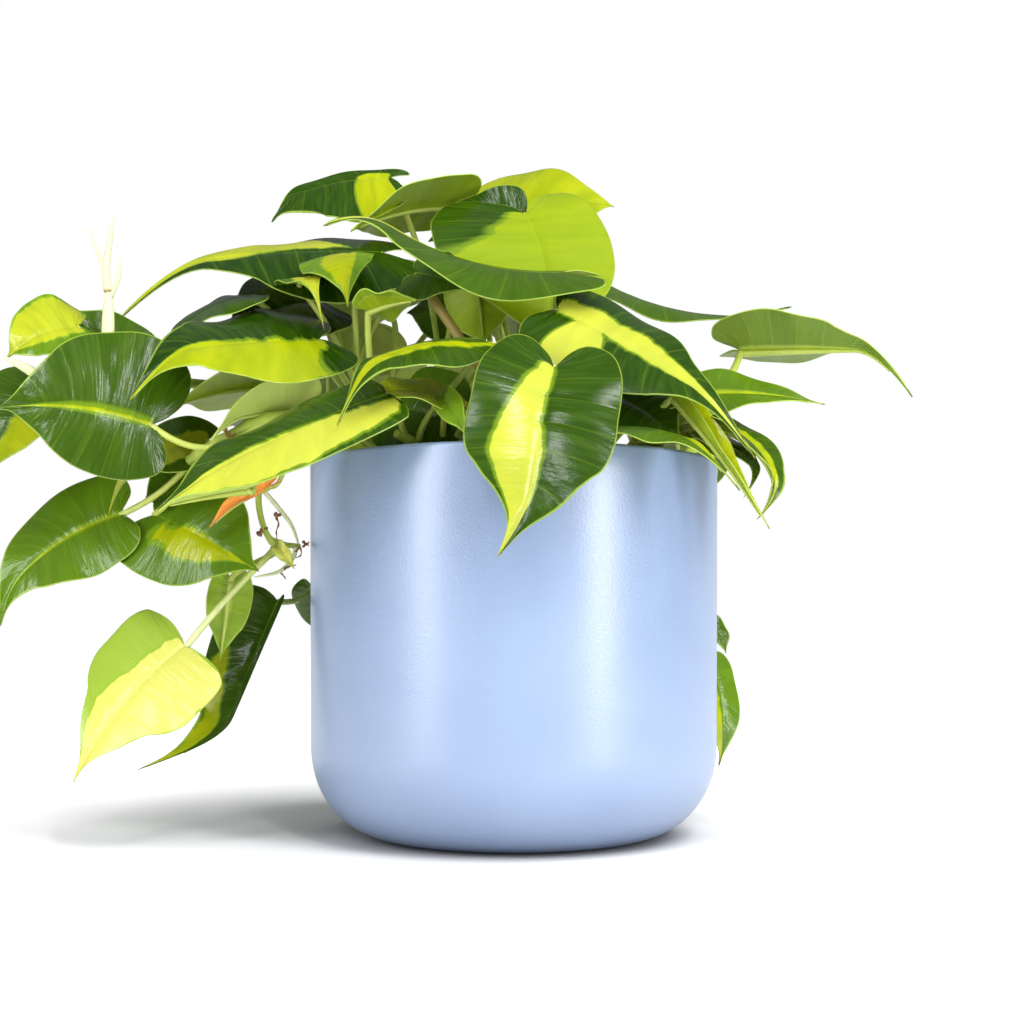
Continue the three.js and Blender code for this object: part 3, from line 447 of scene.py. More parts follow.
@dataclass
class Surface:
    """Faces as whole arrays: points in mm, triangles, their slots, a map, named values."""

    points: Floats
    triangles: Whole
    slots: Whole | None = None
    uv: Floats | None = None
    values: dict[str, Floats] = field(default_factory=dict)

    def __post_init__(self) -> None:
        """Use slot 0 and an empty map where none are given."""
        if self.slots is None:
            self.slots = np.zeros(len(self.triangles), int)
        if self.uv is None:
            self.uv = np.zeros((len(self.points), 2))


def join(surfaces: list[Surface]) -> Surface:
    """Put several surfaces into one.

    Args:
        surfaces: surfaces that hold the same values.

    Returns:
        One surface with the points and faces of all.
    """
    starts = np.cumsum([0] + [len(s.points) for s in surfaces[:-1]])
    return Surface(
        points=np.vstack([s.points for s in surfaces]),
        triangles=np.vstack([s.triangles + n for s, n in zip(surfaces, starts)]),
        slots=np.concatenate([s.slots for s in surfaces]),
        uv=np.vstack([s.uv for s in surfaces]),
        values={
            name: np.concatenate([s.values[name] for s in surfaces])
            for name in surfaces[0].values
        },
    )


def point_normals(points: Floats, triangles: Whole) -> Floats:
    """Average the normals of the triangles round each point, weighted by their area.

    Args:
        points: points in mm.
        triangles: three point numbers a row.

    Returns:
        A unit normal for each point.
    """
    a, b, c = (points[triangles[:, k]] for k in range(3))
    cross = np.cross(b - a, c - a)
    total = np.zeros_like(points)
    for k in range(3):
        np.add.at(total, triangles[:, k], cross)
    return unit(total)


def grid_triangles(rows: int, columns: int, closed: bool = False) -> Whole:
    """Split a grid of points into triangles.

    Args:
        rows: how many rows of points.
        columns: how many points in a row.
        closed: whether the last point of a row joins its first.

    Returns:
        Three point numbers a row.
    """
    index = np.arange(rows * columns).reshape(rows, columns)
    if closed:
        index = np.hstack([index, index[:, :1]])
    a, b, c, d = index[:-1, :-1], index[1:, :-1], index[1:, 1:], index[:-1, 1:]
    first = np.stack([a, d, c], -1).reshape(-1, 3)
    second = np.stack([a, c, b], -1).reshape(-1, 3)
    return np.vstack([first, second])


def make_piece(name: str, surface: Surface, materials: list[Material]) -> Piece:
    """Make a smooth mesh object at the origin from a surface.

    Args:
        name: the piece's name.
        surface: its points in mm, faces and values.
        materials: its materials, in the order of its slots.

    Returns:
        The object, linked to the scene and riding on the plant's body.
    """
    mesh = bpy.data.meshes.new(name)
    mesh.from_pydata((surface.points * MM).tolist(), [], surface.triangles.tolist())
    mesh.polygons.foreach_set("use_smooth", np.ones(len(surface.triangles), bool))
    mesh.polygons.foreach_set("material_index", surface.slots.astype(np.int32))
    layer = mesh.uv_layers.new(name="Blade")
    layer.data.foreach_set("uv", surface.uv[surface.triangles.ravel()].ravel())
    for value, numbers in surface.values.items():
        attribute = mesh.attributes.new(value, "FLOAT", "POINT")
        attribute.data.foreach_set("value", numbers.astype(np.float32))
    for material in materials:
        mesh.materials.append(material)
    mesh.update()
    piece = bpy.data.objects.new(name, mesh)
    bpy.context.scene.collection.objects.link(piece)
    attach(piece, BODY)
    return piece


class Node(Enum):
    """Nodes in use: type, inputs that the values go to in turn, output, settings."""

    ADD = "Math", (0, 1), 0, {"operation": "ADD"}
    SUBTRACT = "Math", (0, 1), 0, {"operation": "SUBTRACT"}
    MULTIPLY = "Math", (0, 1), 0, {"operation": "MULTIPLY"}
    MULTIPLY_ADD = "Math", (0, 1, 2), 0, {"operation": "MULTIPLY_ADD"}
    FRACT = "Math", (0,), 0, {"operation": "FRACT"}
    ABSOLUTE = "Math", (0,), 0, {"operation": "ABSOLUTE"}
    MAXIMUM = "Math", (0, 1), 0, {"operation": "MAXIMUM"}
    RAMP = "MapRange", ("Value", "From Min", "From Max"), "Result", {"interpolation_type": "SMOOTHSTEP"}
    BLEND = "Mix", (0, 6, 7), 2, {"data_type": "RGBA"}
    SPLIT = "SeparateXYZ", (0,), 0, {}
    COMBINE = "CombineXYZ", (0, 1, 2), 0, {}
    BLADE_MAP = "UVMap", (), 0, {"uv_map": "Blade"}
    VALUE = "Attribute", (), "Fac", {}
    PLACE = "TexCoord", (), "Object", {}
    NOISE = "TexNoise", ("Vector", "Scale", "Detail"), 0, {}
    CELLS = "TexVoronoi", ("Vector", "Scale"), 0, {}
    # Ambient occlusion, used only to paint a contact shadow into the floor's colour
    PAINTED_SHADE_OCCLUSION = "AmbientOcclusion", ("Distance",), "AO", {}
    BUMP = "Bump", ("Strength", "Distance", "Height"), 0, {}
    SATIN = "BsdfPrincipled", ("Base Color", "Roughness", "IOR", "Normal"), 0, {}
    MATT = "BsdfPrincipled", ("Base Color", "Roughness", "Specular IOR Level"), 0, {}
    RAY = "LightPath", (), "Is Camera Ray", {}
    GLOW = "Background", ("Color", "Strength"), 0, {}
    MATERIAL_END = "OutputMaterial", ("Surface",), None, {}
    WORLD_END = "OutputWorld", ("Surface",), None, {}


@dataclass(frozen=True)
class Graph:
    """Node tree of a material or of the world."""

    tree: bpy.types.NodeTree

    def add(self, node: Node, *values: object, **settings: object) -> Socket | None:
        """Add a node with its settings and links.

        Args:
            node: which of the nodes in use.
            values: for each of its inputs a number, a colour or the output to link.
            settings: more settings of the node.

        Returns:
            The node's output, unless it ends the tree.
        """
        kind, inputs, output, own = node.value
        added = self.tree.nodes.new("ShaderNode" + kind)
        for name, value in {**own, **settings}.items():
            setattr(added, name, value)
        for name, value in zip(inputs, values):
            if isinstance(value, bpy.types.NodeSocket):
                self.tree.links.new(value, added.inputs[name])
            else:
                added.inputs[name].default_value = value
        return None if output is None else added.outputs[output]


@dataclass(frozen=True)
class Finish:
    """A finish by its material's name, with a draw method that makes its shader."""

    name: str

    def build(self) -> Material:
        """Make the material and link its shader to the end of its tree."""
        material = bpy.data.materials.new(self.name)
        material.use_nodes = True
        material.node_tree.nodes.clear()
        graph = Graph(material.node_tree)
        graph.add(Node.MATERIAL_END, self.draw(graph))
        return material


@dataclass(frozen=True)
class BladeFinish(Finish):
    """Living leaf: a waxed, finely pebbled upper face, and a duller, paler underside.

    Depths are in mm. A stroke is drawn in noise cells across the blade and along it.
    """

    deep: str
    light: str
    lime: str
    yellow: str
    cream: str
    margin: str
    vein: str
    dried: str
    roughness: float
    relief: float
    ior: float = 1.4
    fine_stroke: Pair = (3.0, 60.0)
    broad_stroke: Pair = (1.6, 12.0)
    jag: float = 0.07
    sway: float = 0.3
    streaks: float = 0.12
    halo: float = 0.45
    spot_mm: float = 0.9
    pebble_mm: float = 0.5
    pebble_depth: float = 0.03
    tissue_depth: float = 0.08
    vein_depth: float = -0.03
    swell_depth: float = 0.9

    def draw(self, graph: Graph) -> Socket:
        """Draw the leaf from its blade's own map and values.

        Args:
            graph: the material's nodes.

        Returns:
            The shader.
        """
        add = graph.add
        across = add(Node.SPLIT, add(Node.BLADE_MAP))
        along = across.node.outputs[1]
        splash, tone, rib_mm, rim_mm, seed, dry, cream, ragged = (
            add(Node.VALUE, attribute_name=name) for name in BLADE_VALUES
        )
        codes = (self.deep, self.light, self.lime, self.yellow, self.cream)
        deep, light, lime, yellow, pale = (linear(code) for code in codes)
        margin, veined, dried = (linear(code) for code in (self.margin, self.vein, self.dried))

        # Brush strokes that run along the side veins, from the rib to the margin
        strokes = []
        for wide, narrow in (self.fine_stroke, self.broad_stroke):
            x, y = add(Node.MULTIPLY, across, wide), add(Node.MULTIPLY, along, narrow)
            strokes.append(add(Node.NOISE, add(Node.COMBINE, x, y, seed), 1.0, 3.0))
        fine, broad = strokes

        # Ragged border of the lime part, with a green between the two beside it
        jag = add(Node.MULTIPLY_ADD, fine, self.jag, -self.jag / 2)
        sway = add(Node.MULTIPLY_ADD, broad, self.sway, -self.sway / 2)
        edge = add(Node.ADD, splash, add(Node.MULTIPLY, add(Node.ADD, jag, sway), ragged))
        is_lime = add(Node.RAMP, edge, -0.01, 0.015)
        near_lime = add(Node.RAMP, edge, -0.09, -0.02)

        # Green part: streaks and patches, paler with the leaf's own tone
        streak = add(Node.MULTIPLY, add(Node.RAMP, fine, 0.35, 0.75), self.streaks)
        green = add(Node.BLEND, streak, deep, light)
        patchy = add(Node.MULTIPLY_ADD, add(Node.RAMP, broad, 0.25, 0.75), 0.25, 0.75)
        green = add(Node.BLEND, add(Node.MULTIPLY, tone, patchy), green, light)
        green = add(Node.BLEND, add(Node.RAMP, tone, 1.0, 2.0), green, margin)
        green = add(Node.BLEND, add(Node.MULTIPLY, near_lime, self.halo), green, veined)

        # Lime part: pale where the leaf's cream is above 0 and greener where it is below
        bright = add(Node.BLEND, add(Node.RAMP, broad, 0.3, 0.7), lime, yellow)
        bright = add(Node.BLEND, cream, bright, pale)
        bright = add(Node.BLEND, add(Node.MULTIPLY, cream, -1.0), bright, light)
        colour = add(Node.BLEND, is_lime, green, bright)

        # Lines: the side veins, the rib, wider near the stalk, and the pale margin
        turns = add(Node.FRACT, add(Node.MULTIPLY, along, float(SIDE_VEINS)))
        off = add(Node.ABSOLUTE, add(Node.SUBTRACT, turns, 0.5))
        lines = []
        for away, start, end, share, tint in (
            (off, 0.0, 0.05, 0.1, veined),
            (rib_mm, 0.2, 0.6, 0.35, veined),
            (rim_mm, 0.1, 0.4, 0.7, margin),
        ):
            lines.append(add(Node.SUBTRACT, 1.0, add(Node.RAMP, away, start, end)))
            colour = add(Node.BLEND, add(Node.MULTIPLY, lines[-1], share), colour, tint)
        place = add(Node.PLACE)
        spots = add(Node.NOISE, place, 1 / (self.spot_mm * MM), 2.0)
        rust = add(Node.RAMP, add(Node.ADD, dry, spots), 0.95, 1.15)
        colour = add(Node.BLEND, rust, colour, dried)

        # Height in mm: pebbling, strokes of the tissue, sunken veins, swells between them
        pebbles = add(Node.NOISE, place, 1 / (self.pebble_mm * MM), 2.0)
        height = add(Node.MULTIPLY, pebbles, self.pebble_depth)
        for part, depth in (
            (fine, self.tissue_depth),
            (lines[0], self.vein_depth),
            (broad, self.swell_depth),
        ):
            height = add(Node.ADD, height, add(Node.MULTIPLY, part, depth))
        bump = add(Node.BUMP, self.relief, MM, height)
        rough = add(Node.MULTIPLY_ADD, fine, 0.16, self.roughness - 0.08)
        return add(Node.SATIN, colour, rough, self.ior, bump)


WAXED_LEAF = BladeFinish(
    name="waxed philodendron leaf",
    deep="#143002",
    light="#5E8014",
    lime="#828E04",
    yellow="#969E06",
    cream="#C0C05A",
    margin="#8FA83A",
    vein="#7F9E1E",
    dried="#EE9A44",
    roughness=0.2,
    relief=0.8,
)
# Underside colours: partly the leaf's own paler back, partly painted light, brightened to stand in for
# light shining through the blade
DULL_LEAF = BladeFinish(
    name="philodendron leaf underside",
    deep="#33500A",
    light="#84A020",
    lime="#849A0C",
    yellow="#96A814",
    cream="#B4C070",
    margin="#A6BE52",
    vein="#B4C458",
    dried="#C8783A",
    roughness=0.48,
    relief=0.5,
)


@dataclass(frozen=True)
class StalkFinish(Finish):
    """Living stalk: smooth, fleshy and faintly ribbed, green to pale lime or tan."""

    name: str = "fleshy stalk"
    green: str = "#7F9A24"
    pale: str = "#B2BE58"
    cream: str = "#CCD2A0"
    tan: str = "#7E5632"
    patch_mm: float = 6.0
    rib_mm: float = 0.7
    rib_depth_mm: float = 0.1

    def draw(self, graph: Graph) -> Socket:
        """Draw the stalk from its own pale and tan values.

        Args:
            graph: the material's nodes.

        Returns:
            The shader.
        """
        add = graph.add
        pale, tan = (add(Node.VALUE, attribute_name=name) for name in ("pale", "tan"))
        place = add(Node.PLACE)
        patches = add(Node.NOISE, place, 1 / (self.patch_mm * MM), 3.0)
        ribs = add(Node.NOISE, place, 1 / (self.rib_mm * MM), 2.0)
        mix = add(Node.ADD, pale, add(Node.MULTIPLY_ADD, patches, 0.7, -0.35))
        colour = add(Node.BLEND, add(Node.RAMP, mix, 0.0, 1.0), linear(self.green), linear(self.pale))
        colour = add(Node.BLEND, add(Node.RAMP, pale, 0.9, 1.5), colour, linear(self.cream))
        colour = add(Node.BLEND, tan, colour, linear(self.tan))
        return add(Node.SATIN, colour, 0.42, 1.42, add(Node.BUMP, 0.3, self.rib_depth_mm * MM, ribs))


@dataclass(frozen=True)
class PowderCoat(Finish):
    """Powder coat baked on the pot: satin, even in colour, with a fine orange peel."""

    name: str = "powder-blue coat"
    colour: str = "#8093B2"
    shade: str = "#7A8DAD"
    cloud_mm: float = 40.0
    peel_mm: float = 0.7
    peel_depth_mm: float = 0.06
    roughness: float = 0.32

    def draw(self, graph: Graph) -> Socket:
        """Draw the coat on the pot's own coordinates.

        Args:
            graph: the material's nodes.

        Returns:
            The shader.
        """
        add = graph.add
        place = add(Node.PLACE)
        cloud = add(Node.NOISE, place, 1 / (self.cloud_mm * MM), 2.0)
        peel = add(Node.NOISE, place, 1 / (self.peel_mm * MM), 1.5)
        colour = add(Node.BLEND, add(Node.RAMP, cloud, 0.3, 0.7), linear(self.shade), linear(self.colour))
        rough = add(Node.MULTIPLY_ADD, peel, 0.12, self.roughness - 0.06)
        return add(Node.SATIN, colour, rough, 1.8, add(Node.BUMP, 1.0, self.peel_depth_mm * MM, peel))


@dataclass(frozen=True)
class PottingMix(Finish):
    """Peat and bark chips, damp and dull, with a little pale grit."""

    name: str = "potting mix"
    dark: str = "#1E140E"
    bark: str = "#4A3324"
    grit_mm: float = 2.5
    fibre_mm: float = 0.8

    def draw(self, graph: Graph) -> Socket:
        """Draw the mix on its own coordinates.

        Args:
            graph: the material's nodes.

        Returns:
            The shader.
        """
        add = graph.add
        place = add(Node.PLACE)
        chips = add(Node.CELLS, place, 1 / (self.grit_mm * MM))
        fibre = add(Node.NOISE, place, 1 / (self.fibre_mm * MM), 4.0)
        tint = add(Node.MULTIPLY, add(Node.SPLIT, chips.node.outputs["Color"]), fibre)
        colour = add(Node.BLEND, tint, linear(self.dark), linear(self.bark))
        height = add(Node.ADD, fibre, add(Node.MULTIPLY, chips, 0.8))
        return add(Node.SATIN, colour, 0.9, 1.4, add(Node.BUMP, 0.9, 0.8 * MM, height))


@dataclass(frozen=True)
class FloorPaint(Finish):
    """Matt white paint on the studio's floor, with a contact shadow painted round the pot's foot."""

    name: str = "matt white floor paint"
    colour: str = "#F7F7F8"
    # Reach in metres of the contact shadow painted round the pot's foot
    contact_shade_reach: float = 0.06

    def draw(self, graph: Graph) -> Socket:
        """Paint shade into the floor: darker by how little of the sky each point sees.

        Args:
            graph: the material's nodes.

        Returns:
            The shader.
        """
        # Painted contact shadow: the colour falls to 40% where the pot hides all the sky
        sky = graph.add(Node.MULTIPLY_ADD, graph.add(Node.PAINTED_SHADE_OCCLUSION, self.contact_shade_reach), 0.6, 0.4)
        paint = graph.add(Node.BLEND, sky, linear("#000000"), linear(self.colour))
        return graph.add(Node.MATT, paint, 0.8, 0.0)


def revolve(profile: Floats, segments: int, lift: Floats | None = None) -> Surface:
    """Turn a profile round the upright axis.

    Args:
        profile: radius and height of each point, from the axis outward and back to it.
        segments: how many steps round.
        lift: height added to each point, one row for each point of the profile.

    Returns:
        A closed surface that faces outward.
    """
    angle = 2 * np.pi * np.arange(segments) / segments
    radius, height = profile[:, :1], profile[:, 1:]
    z = height + (lift if lift is not None else np.zeros((len(profile), segments)))
    points = np.stack([radius * np.cos(angle), radius * np.sin(angle), z * np.ones(segments)], -1)
    triangles = grid_triangles(len(profile), segments, closed=True)
    raw = np.arange(len(profile) * segments).reshape(len(profile), segments)
    raw[0] = raw[0, 0]
    raw[-1] = raw[-1, 0]
    kept, index = np.unique(raw, return_inverse=True)
    triangles = index.reshape(-1)[triangles]
    a, b, c = triangles.T
    triangles = triangles[(a != b) & (b != c) & (c != a)][:, ::-1]
    points = points.reshape(-1, 3)[kept]
    return Surface(points, triangles)


def quarter(centre: Pair, radii: Pair, start: float, steps: int) -> Floats:
    """Draw a quarter of an ellipse in the profile's plane.

    Args:
        centre: radius and height of its centre.
        radii: its half axes.
        start: first angle in degrees, from the outward direction.
        steps: how many steps.

    Returns:
        The arc's points.
    """
    angle = np.radians(np.linspace(start, start + 90, steps + 1))
    return np.array(centre) + np.array(radii) * np.stack([np.cos(angle), np.sin(angle)], -1)


@dataclass
class Pot:
    """Round-bottomed cylinder with an even wall and a rounded rim."""

    radius: float = POT_RADIUS
    height: float = POT_HEIGHT
    wall: float = POT_WALL
    segments: int = 180

    def profile(self) -> Floats:
        """Draw the section: base, corner arc, wall, rim and inside wall.

        Returns:
            Radius and height of each point.
        """
        corner = (POT_LOW_RADIUS - POT_FOOT_RADIUS, POT_CORNER_TOP)
        base_edge = quarter((POT_FOOT_RADIUS, POT_CORNER_TOP), corner, -90, 24)
        round_rim = (RIM_ROUND, RIM_ROUND)
        top = self.height - RIM_ROUND
        rim = quarter((self.radius - RIM_ROUND, top), round_rim, 0, 6)
        lip = quarter((self.radius - self.wall + RIM_ROUND, top), round_rim, 90, 6)
        low_inside = [POT_LOW_RADIUS - self.wall, POT_CORNER_TOP]
        inside = [low_inside, [POT_FOOT_RADIUS - 2, POT_FLOOR], [0, POT_FLOOR]]
        wall = np.linspace([POT_LOW_RADIUS, POT_CORNER_TOP], [self.radius, top], 12)[1:-1]
        flat = np.array([[0, 0], [20, 0], [38, 0]])
        return np.vstack([flat, base_edge, wall, rim, lip, inside])

    def dress(self) -> Piece:
        """Make the pot and give it its coat.

        Returns:
            The piece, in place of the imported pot.
        """
        surface = revolve(self.profile(), self.segments)
        piece = make_piece("powder_coated_pot", surface, [PowderCoat().build()])
        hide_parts("pot")
        return piece


@dataclass
class Soil:
    """Potting mix that fills the pot, with chips of bark on it."""

    top: float = SOIL_TOP
    radius: float = POT_RADIUS - POT_WALL - 0.4
    rings: int = 40
    segments: int = 120
    chips: int = 260
    seed: int = 5

    def body(self) -> Surface:
        """Heap the mix: three waves of different widths added over the top.

        Returns:
            A closed surface.
        """
        radius = np.linspace(self.radius, 0, self.rings)
        side = [[0, SOIL_FLOOR], [self.radius - 2, SOIL_FLOOR], [self.radius, self.top - 6]]
        profile = np.vstack([side, np.stack([radius, np.full(self.rings, self.top)], -1)])
        angle = 2 * np.pi * np.arange(self.segments) / self.segments
        x, y = profile[:, :1] * np.cos(angle), profile[:, :1] * np.sin(angle)
        heap = 0.9 * np.sin(x / 9 + 1) * np.cos(y / 11) + 0.5 * np.sin(x / 3.1 + y / 4)
        heap = heap + 0.3 * np.cos(y / 1.9 - x / 2.7)
        lift = np.where(profile[:, 1:] >= self.top, heap - 0.8, 0)
        return revolve(profile, self.segments, lift)

    def bark(self) -> Surface:
        """Scatter chips: stretched, turned and roughened twenty-sided lumps.

        Returns:
            All the chips as one surface.
        """
        draw = np.random.default_rng(self.seed)
        golden = (1 + 5**0.5) / 2
        corners = np.array([[s * 1, t * golden, 0] for s in (-1, 1) for t in (-1, 1)], float)
        corners = unit(np.vstack([corners, corners[:, [2, 0, 1]], corners[:, [1, 2, 0]]]))
        near = corners @ corners.T > 0.4
        threes = itertools.combinations(range(12), 3)
        faces = np.array([f for f in threes if all(near[i, j] for i, j in itertools.combinations(f, 2))])
        inward = np.linalg.det(corners[faces]) < 0
        faces[inward] = faces[inward, ::-1]
        size = draw.uniform([1.2, 0.8, 0.5], [3.6, 2.2, 1.2], (self.chips, 3))
        turn = draw.uniform(0, 2 * np.pi, self.chips)
        rough = draw.uniform(0.75, 1.25, (self.chips, 12, 1))
        away = (self.radius - 4) * np.sqrt(draw.uniform(0, 1, self.chips))
        angle = draw.uniform(0, 2 * np.pi, self.chips)
        local = corners * rough * size[:, None]
        cos, sin = np.cos(turn)[:, None], np.sin(turn)[:, None]
        x = local[..., 0] * cos - local[..., 1] * sin + (away * np.cos(angle))[:, None]
        y = local[..., 0] * sin + local[..., 1] * cos + (away * np.sin(angle))[:, None]
        points = np.stack([x, y, local[..., 2] + self.top - 0.2], -1).reshape(-1, 3)
        triangles = (faces[None] + 12 * np.arange(self.chips)[:, None, None]).reshape(-1, 3)
        return Surface(points, triangles)

    def dress(self) -> Piece:
        """Make the mix and its chips.

        Returns:
            The piece, in place of the packed soil.
        """
        piece = make_piece("potting_mix", join([self.body(), self.bark()]), [PottingMix().build()])
        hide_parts("soil")
        return piece


def sweep(points: Floats, radii: Floats, values: dict[str, Floats], sides: int = 12) -> Surface:
    """Carry a circle along a path, its sides counted from a fixed slanting direction.

    Args:
        points: the path.
        radii: the circle's radius at each point of the path.
        values: named values at each point of the path.
        sides: points round the circle.

    Returns:
        A closed tube with pointed ends.
    """
    way = unit(np.gradient(points, axis=0))
    slant = np.array([0.36, 0.84, 0.41])
    first = unit(np.cross(way, slant))
    second = np.cross(way, first)
    angle = 2 * np.pi * np.arange(sides) / sides
    ring = first[:, None] * np.cos(angle)[:, None] + second[:, None] * np.sin(angle)[:, None]
    body = points[:, None] + ring * radii[:, None, None]
    rows = len(points)
    ends = np.vstack([points[0] - way[0] * radii[0] * 0.6, points[-1] + way[-1] * radii[-1] * 0.6])
    triangles = grid_triangles(rows, sides, closed=True)
    k = np.arange(sides)
    after = (k + 1) % sides
    last = (rows - 1) * sides
    foot = np.stack([np.full(sides, rows * sides), after, k], -1)
    head = np.stack([np.full(sides, rows * sides + 1), last + k, last + after], -1)
    return Surface(
        np.vstack([body.reshape(-1, 3), ends]),
        np.vstack([triangles, foot, head]),
        values={n: np.concatenate([np.repeat(v, sides), [v[0], v[-1]]]) for n, v in values.items()},
    )


# Half outline of a blade from the notch round the lobe to the tip: half widths across,
# lengths along, and the half widths that a full blade has more
OUTLINE = np.array([
    (0, 0, 0), (0.16, -0.09, 0), (0.42, -0.16, 0), (0.72, -0.13, 0), (0.93, 0.01, 0), (1, 0.18, 0),
    (0.97, 0.37, 0.02), (0.82, 0.56, 0.11), (0.55, 0.73, 0.2), (0.27, 0.86, 0.14),
    (0.09, 0.94, 0.02), (0, 1, 0),
])  # fmt: skip


@dataclass
class Blade:
    """Heart-shaped blade: an arched rib with a cupped and waved half on each side."""

    plan: Leaf
    number: int
    rows: int = 60
    columns: int = 17

    def __post_init__(self) -> None:
        """Work out the rib's curve and the blade's own directions."""
        plan = self.plan
        self.base = np.array(plan.base, float)
        self.hook = np.array(plan.hook, float)
        self.end = np.array(plan.tip, float) - self.hook
        along = self.end - self.base
        self.length = float(np.linalg.norm(along))
        along = along / self.length
        up = np.array(plan.face, float)
        self.up = unit(up - along * np.dot(up, along))
        side = np.cross(self.up, along)
        middle = (self.base + self.end) / 2
        self.bend = middle + 2 * self.length * (self.up * plan.arch + side * plan.sweep)
        self.half = plan.width / 2
        self.draw = np.random.default_rng(100 + self.number)

    def rib(self, t: Floats) -> tuple[Floats, Floats]:
        """Follow the rib: a parabola from stalk to tip, whose last third droops.

        Args:
            t: places along the blade, 0 at the stalk and 1 at the tip.

        Returns:
            The points, and the direction at each.
        """
        u = np.clip(t, 0, 1)[..., None]
        first, second = self.bend - self.base, self.end - self.bend
        point = (1 - u) ** 2 * self.base + 2 * u * (1 - u) * self.bend + u**2 * self.end
        way = 2 * (1 - u) * first + 2 * u * second
        q = np.clip((u - HOOK_START) / (1 - HOOK_START), 0, 1)
        point = point + self.hook * q**2 + 2 * first * np.minimum(t, 0)[..., None]
        return point, unit(way + self.hook * 2 * q / (1 - HOOK_START))

    def rise(self, along: Floats) -> Floats:
        """Stand the blade's own upward direction square to its rib."""
        return unit(self.up - along * np.sum(self.up * along, -1, keepdims=True))

    def place(self, x: Floats, t: Floats) -> Floats:
        """Place points of the blade: each half is an arc, waved more towards the margin.

        Args:
            x: half widths from the rib.
            t: lengths along the blade.

        Returns:
            The points.
        """
        plan = self.plan
        point, along = self.rib(t)
        up = self.rise(along)
        side = np.cross(up, along)
        fold_left = plan.fold if plan.fold_left is None else plan.fold_left
        fold_right = plan.fold if plan.fold_right is None else plan.fold_right
        fold = np.radians(np.where(x < 0, fold_left, fold_right))
        curl = np.radians(plan.curl if abs(plan.curl) > 0.06 else 0.06)
        a = np.abs(x)
        radius = self.half / curl
        out = radius * (np.sin(fold + curl * a) - np.sin(fold))
        lift = -radius * (np.cos(fold + curl * a) - np.cos(fold))
        start = np.where(x < 0, 0.6, 2.4)
        lift = lift + plan.wave * a**2 * np.sin(2 * np.pi * plan.waves * t + start)
        lift = lift - LOBE_DROP * self.length * np.where(t < 0, t * t, 0)
        return point + side * (np.sign(x) * out)[..., None] + up * lift[..., None]

    def sheet(self, stations: Floats, across: Floats) -> tuple[Floats, Floats]:
        """Lay a grid on the blade whose rows run out along the side veins.

        Args:
            stations: places on the outline, 0 at the notch and 1 at the tip.
            across: places across, -1 at the left margin and 1 at the right.

        Returns:
            The points, and each point's distance from the rib in half widths.
        """
        plan = self.plan
        x, t, more = smooth_curve(OUTLINE, stations).T
        late = np.clip((t - 0.78) / 0.22, 0, 1) ** 1.5
        t = np.where(t > 0, t * (1 - plan.drip) + plan.drip * late, t)
        slim = min(1.0, 3 * plan.drip) * 0.35 * (1 - plan.full) * np.clip((t - 0.55) / 0.25, 0, 1)
        x = x * (1 - slim * (t < 0.999)) + plan.full * more
        t = np.where(t < 0, t * plan.ears, t)
        vein = np.clip((stations - LOBE_STATION) / (1 - LOBE_STATION), 0, 1)
        root = vein * (0.62 + 0.38 * vein)
        away = np.abs(across)[None]
        reach = np.where(across > 0, plan.right, plan.left)[None]
        wide = across[None] * x[:, None] * reach
        forward = away**VEIN_ARC
        long = root[:, None] * (1 - forward) + t[:, None] * forward
        return self.place(wide, long), np.abs(wide)

    def splash(self, stations: Floats, across: Floats) -> Floats:
        """Measure how far inside the lime part each point is, across the blade.

        Args:
            stations: places on the outline.
            across: places across.

        Returns:
            The depth, above 0 where the blade is lime.
        """
        plan = self.plan.splash
        left, right = (np.interp(stations, SPLASH_STATIONS, e)[:, None] for e in (plan.left, plan.right))
        depth = np.minimum(across[None] - left, right - across[None])
        for over, far, half_over, half_far, gain in plan.patches:
            away = np.hypot((across[None] - over) / half_over, (stations[:, None] - far) / half_far)
            oval = (1 - away) * half_over
            depth = np.maximum(depth, oval) if gain > 0 else np.minimum(depth, -oval)
        return depth

    def surface(self) -> Surface:
        """Make the blade: a thin closed sheet, grooved on the rib and puffed between veins.

        Returns:
            The blade with its map and values.
        """
        stations = np.linspace(0, 1, self.rows)
        out = np.linspace(0, 1, self.columns) ** 1.25
        out = np.sort(np.append(out, 0.975))
        across = np.concatenate([-out[:0:-1], out])
        middle = len(across) // 2
        points, wide = self.sheet(stations, across)
        raw = np.arange(points[..., 0].size).reshape(points.shape[:2])
        raw[0] = raw[0, middle]
        raw[stations <= LOBE_STATION, middle] = raw[0, middle]
        raw[-1] = raw[-1, middle]
        kept, index = np.unique(raw, return_inverse=True)
        index = index.reshape(raw.shape)
        a, b, c, d = index[:-1, :-1], index[1:, :-1], index[1:, 1:], index[:-1, 1:]
        is_left = np.broadcast_to(np.arange(a.shape[1]) < middle, a.shape)[..., None]
        first = np.where(is_left, np.stack([a, b, c], -1), np.stack([a, b, d], -1))
        second = np.where(is_left, np.stack([a, c, d], -1), np.stack([b, c, d], -1))
        triangles = np.vstack([first.reshape(-1, 3), second.reshape(-1, 3)])
        a, b, c = triangles.T
        triangles = triangles[(a != b) & (b != c) & (c != a)]
        points = points.reshape(-1, 3)[kept]
        normals = point_normals(points, triangles)

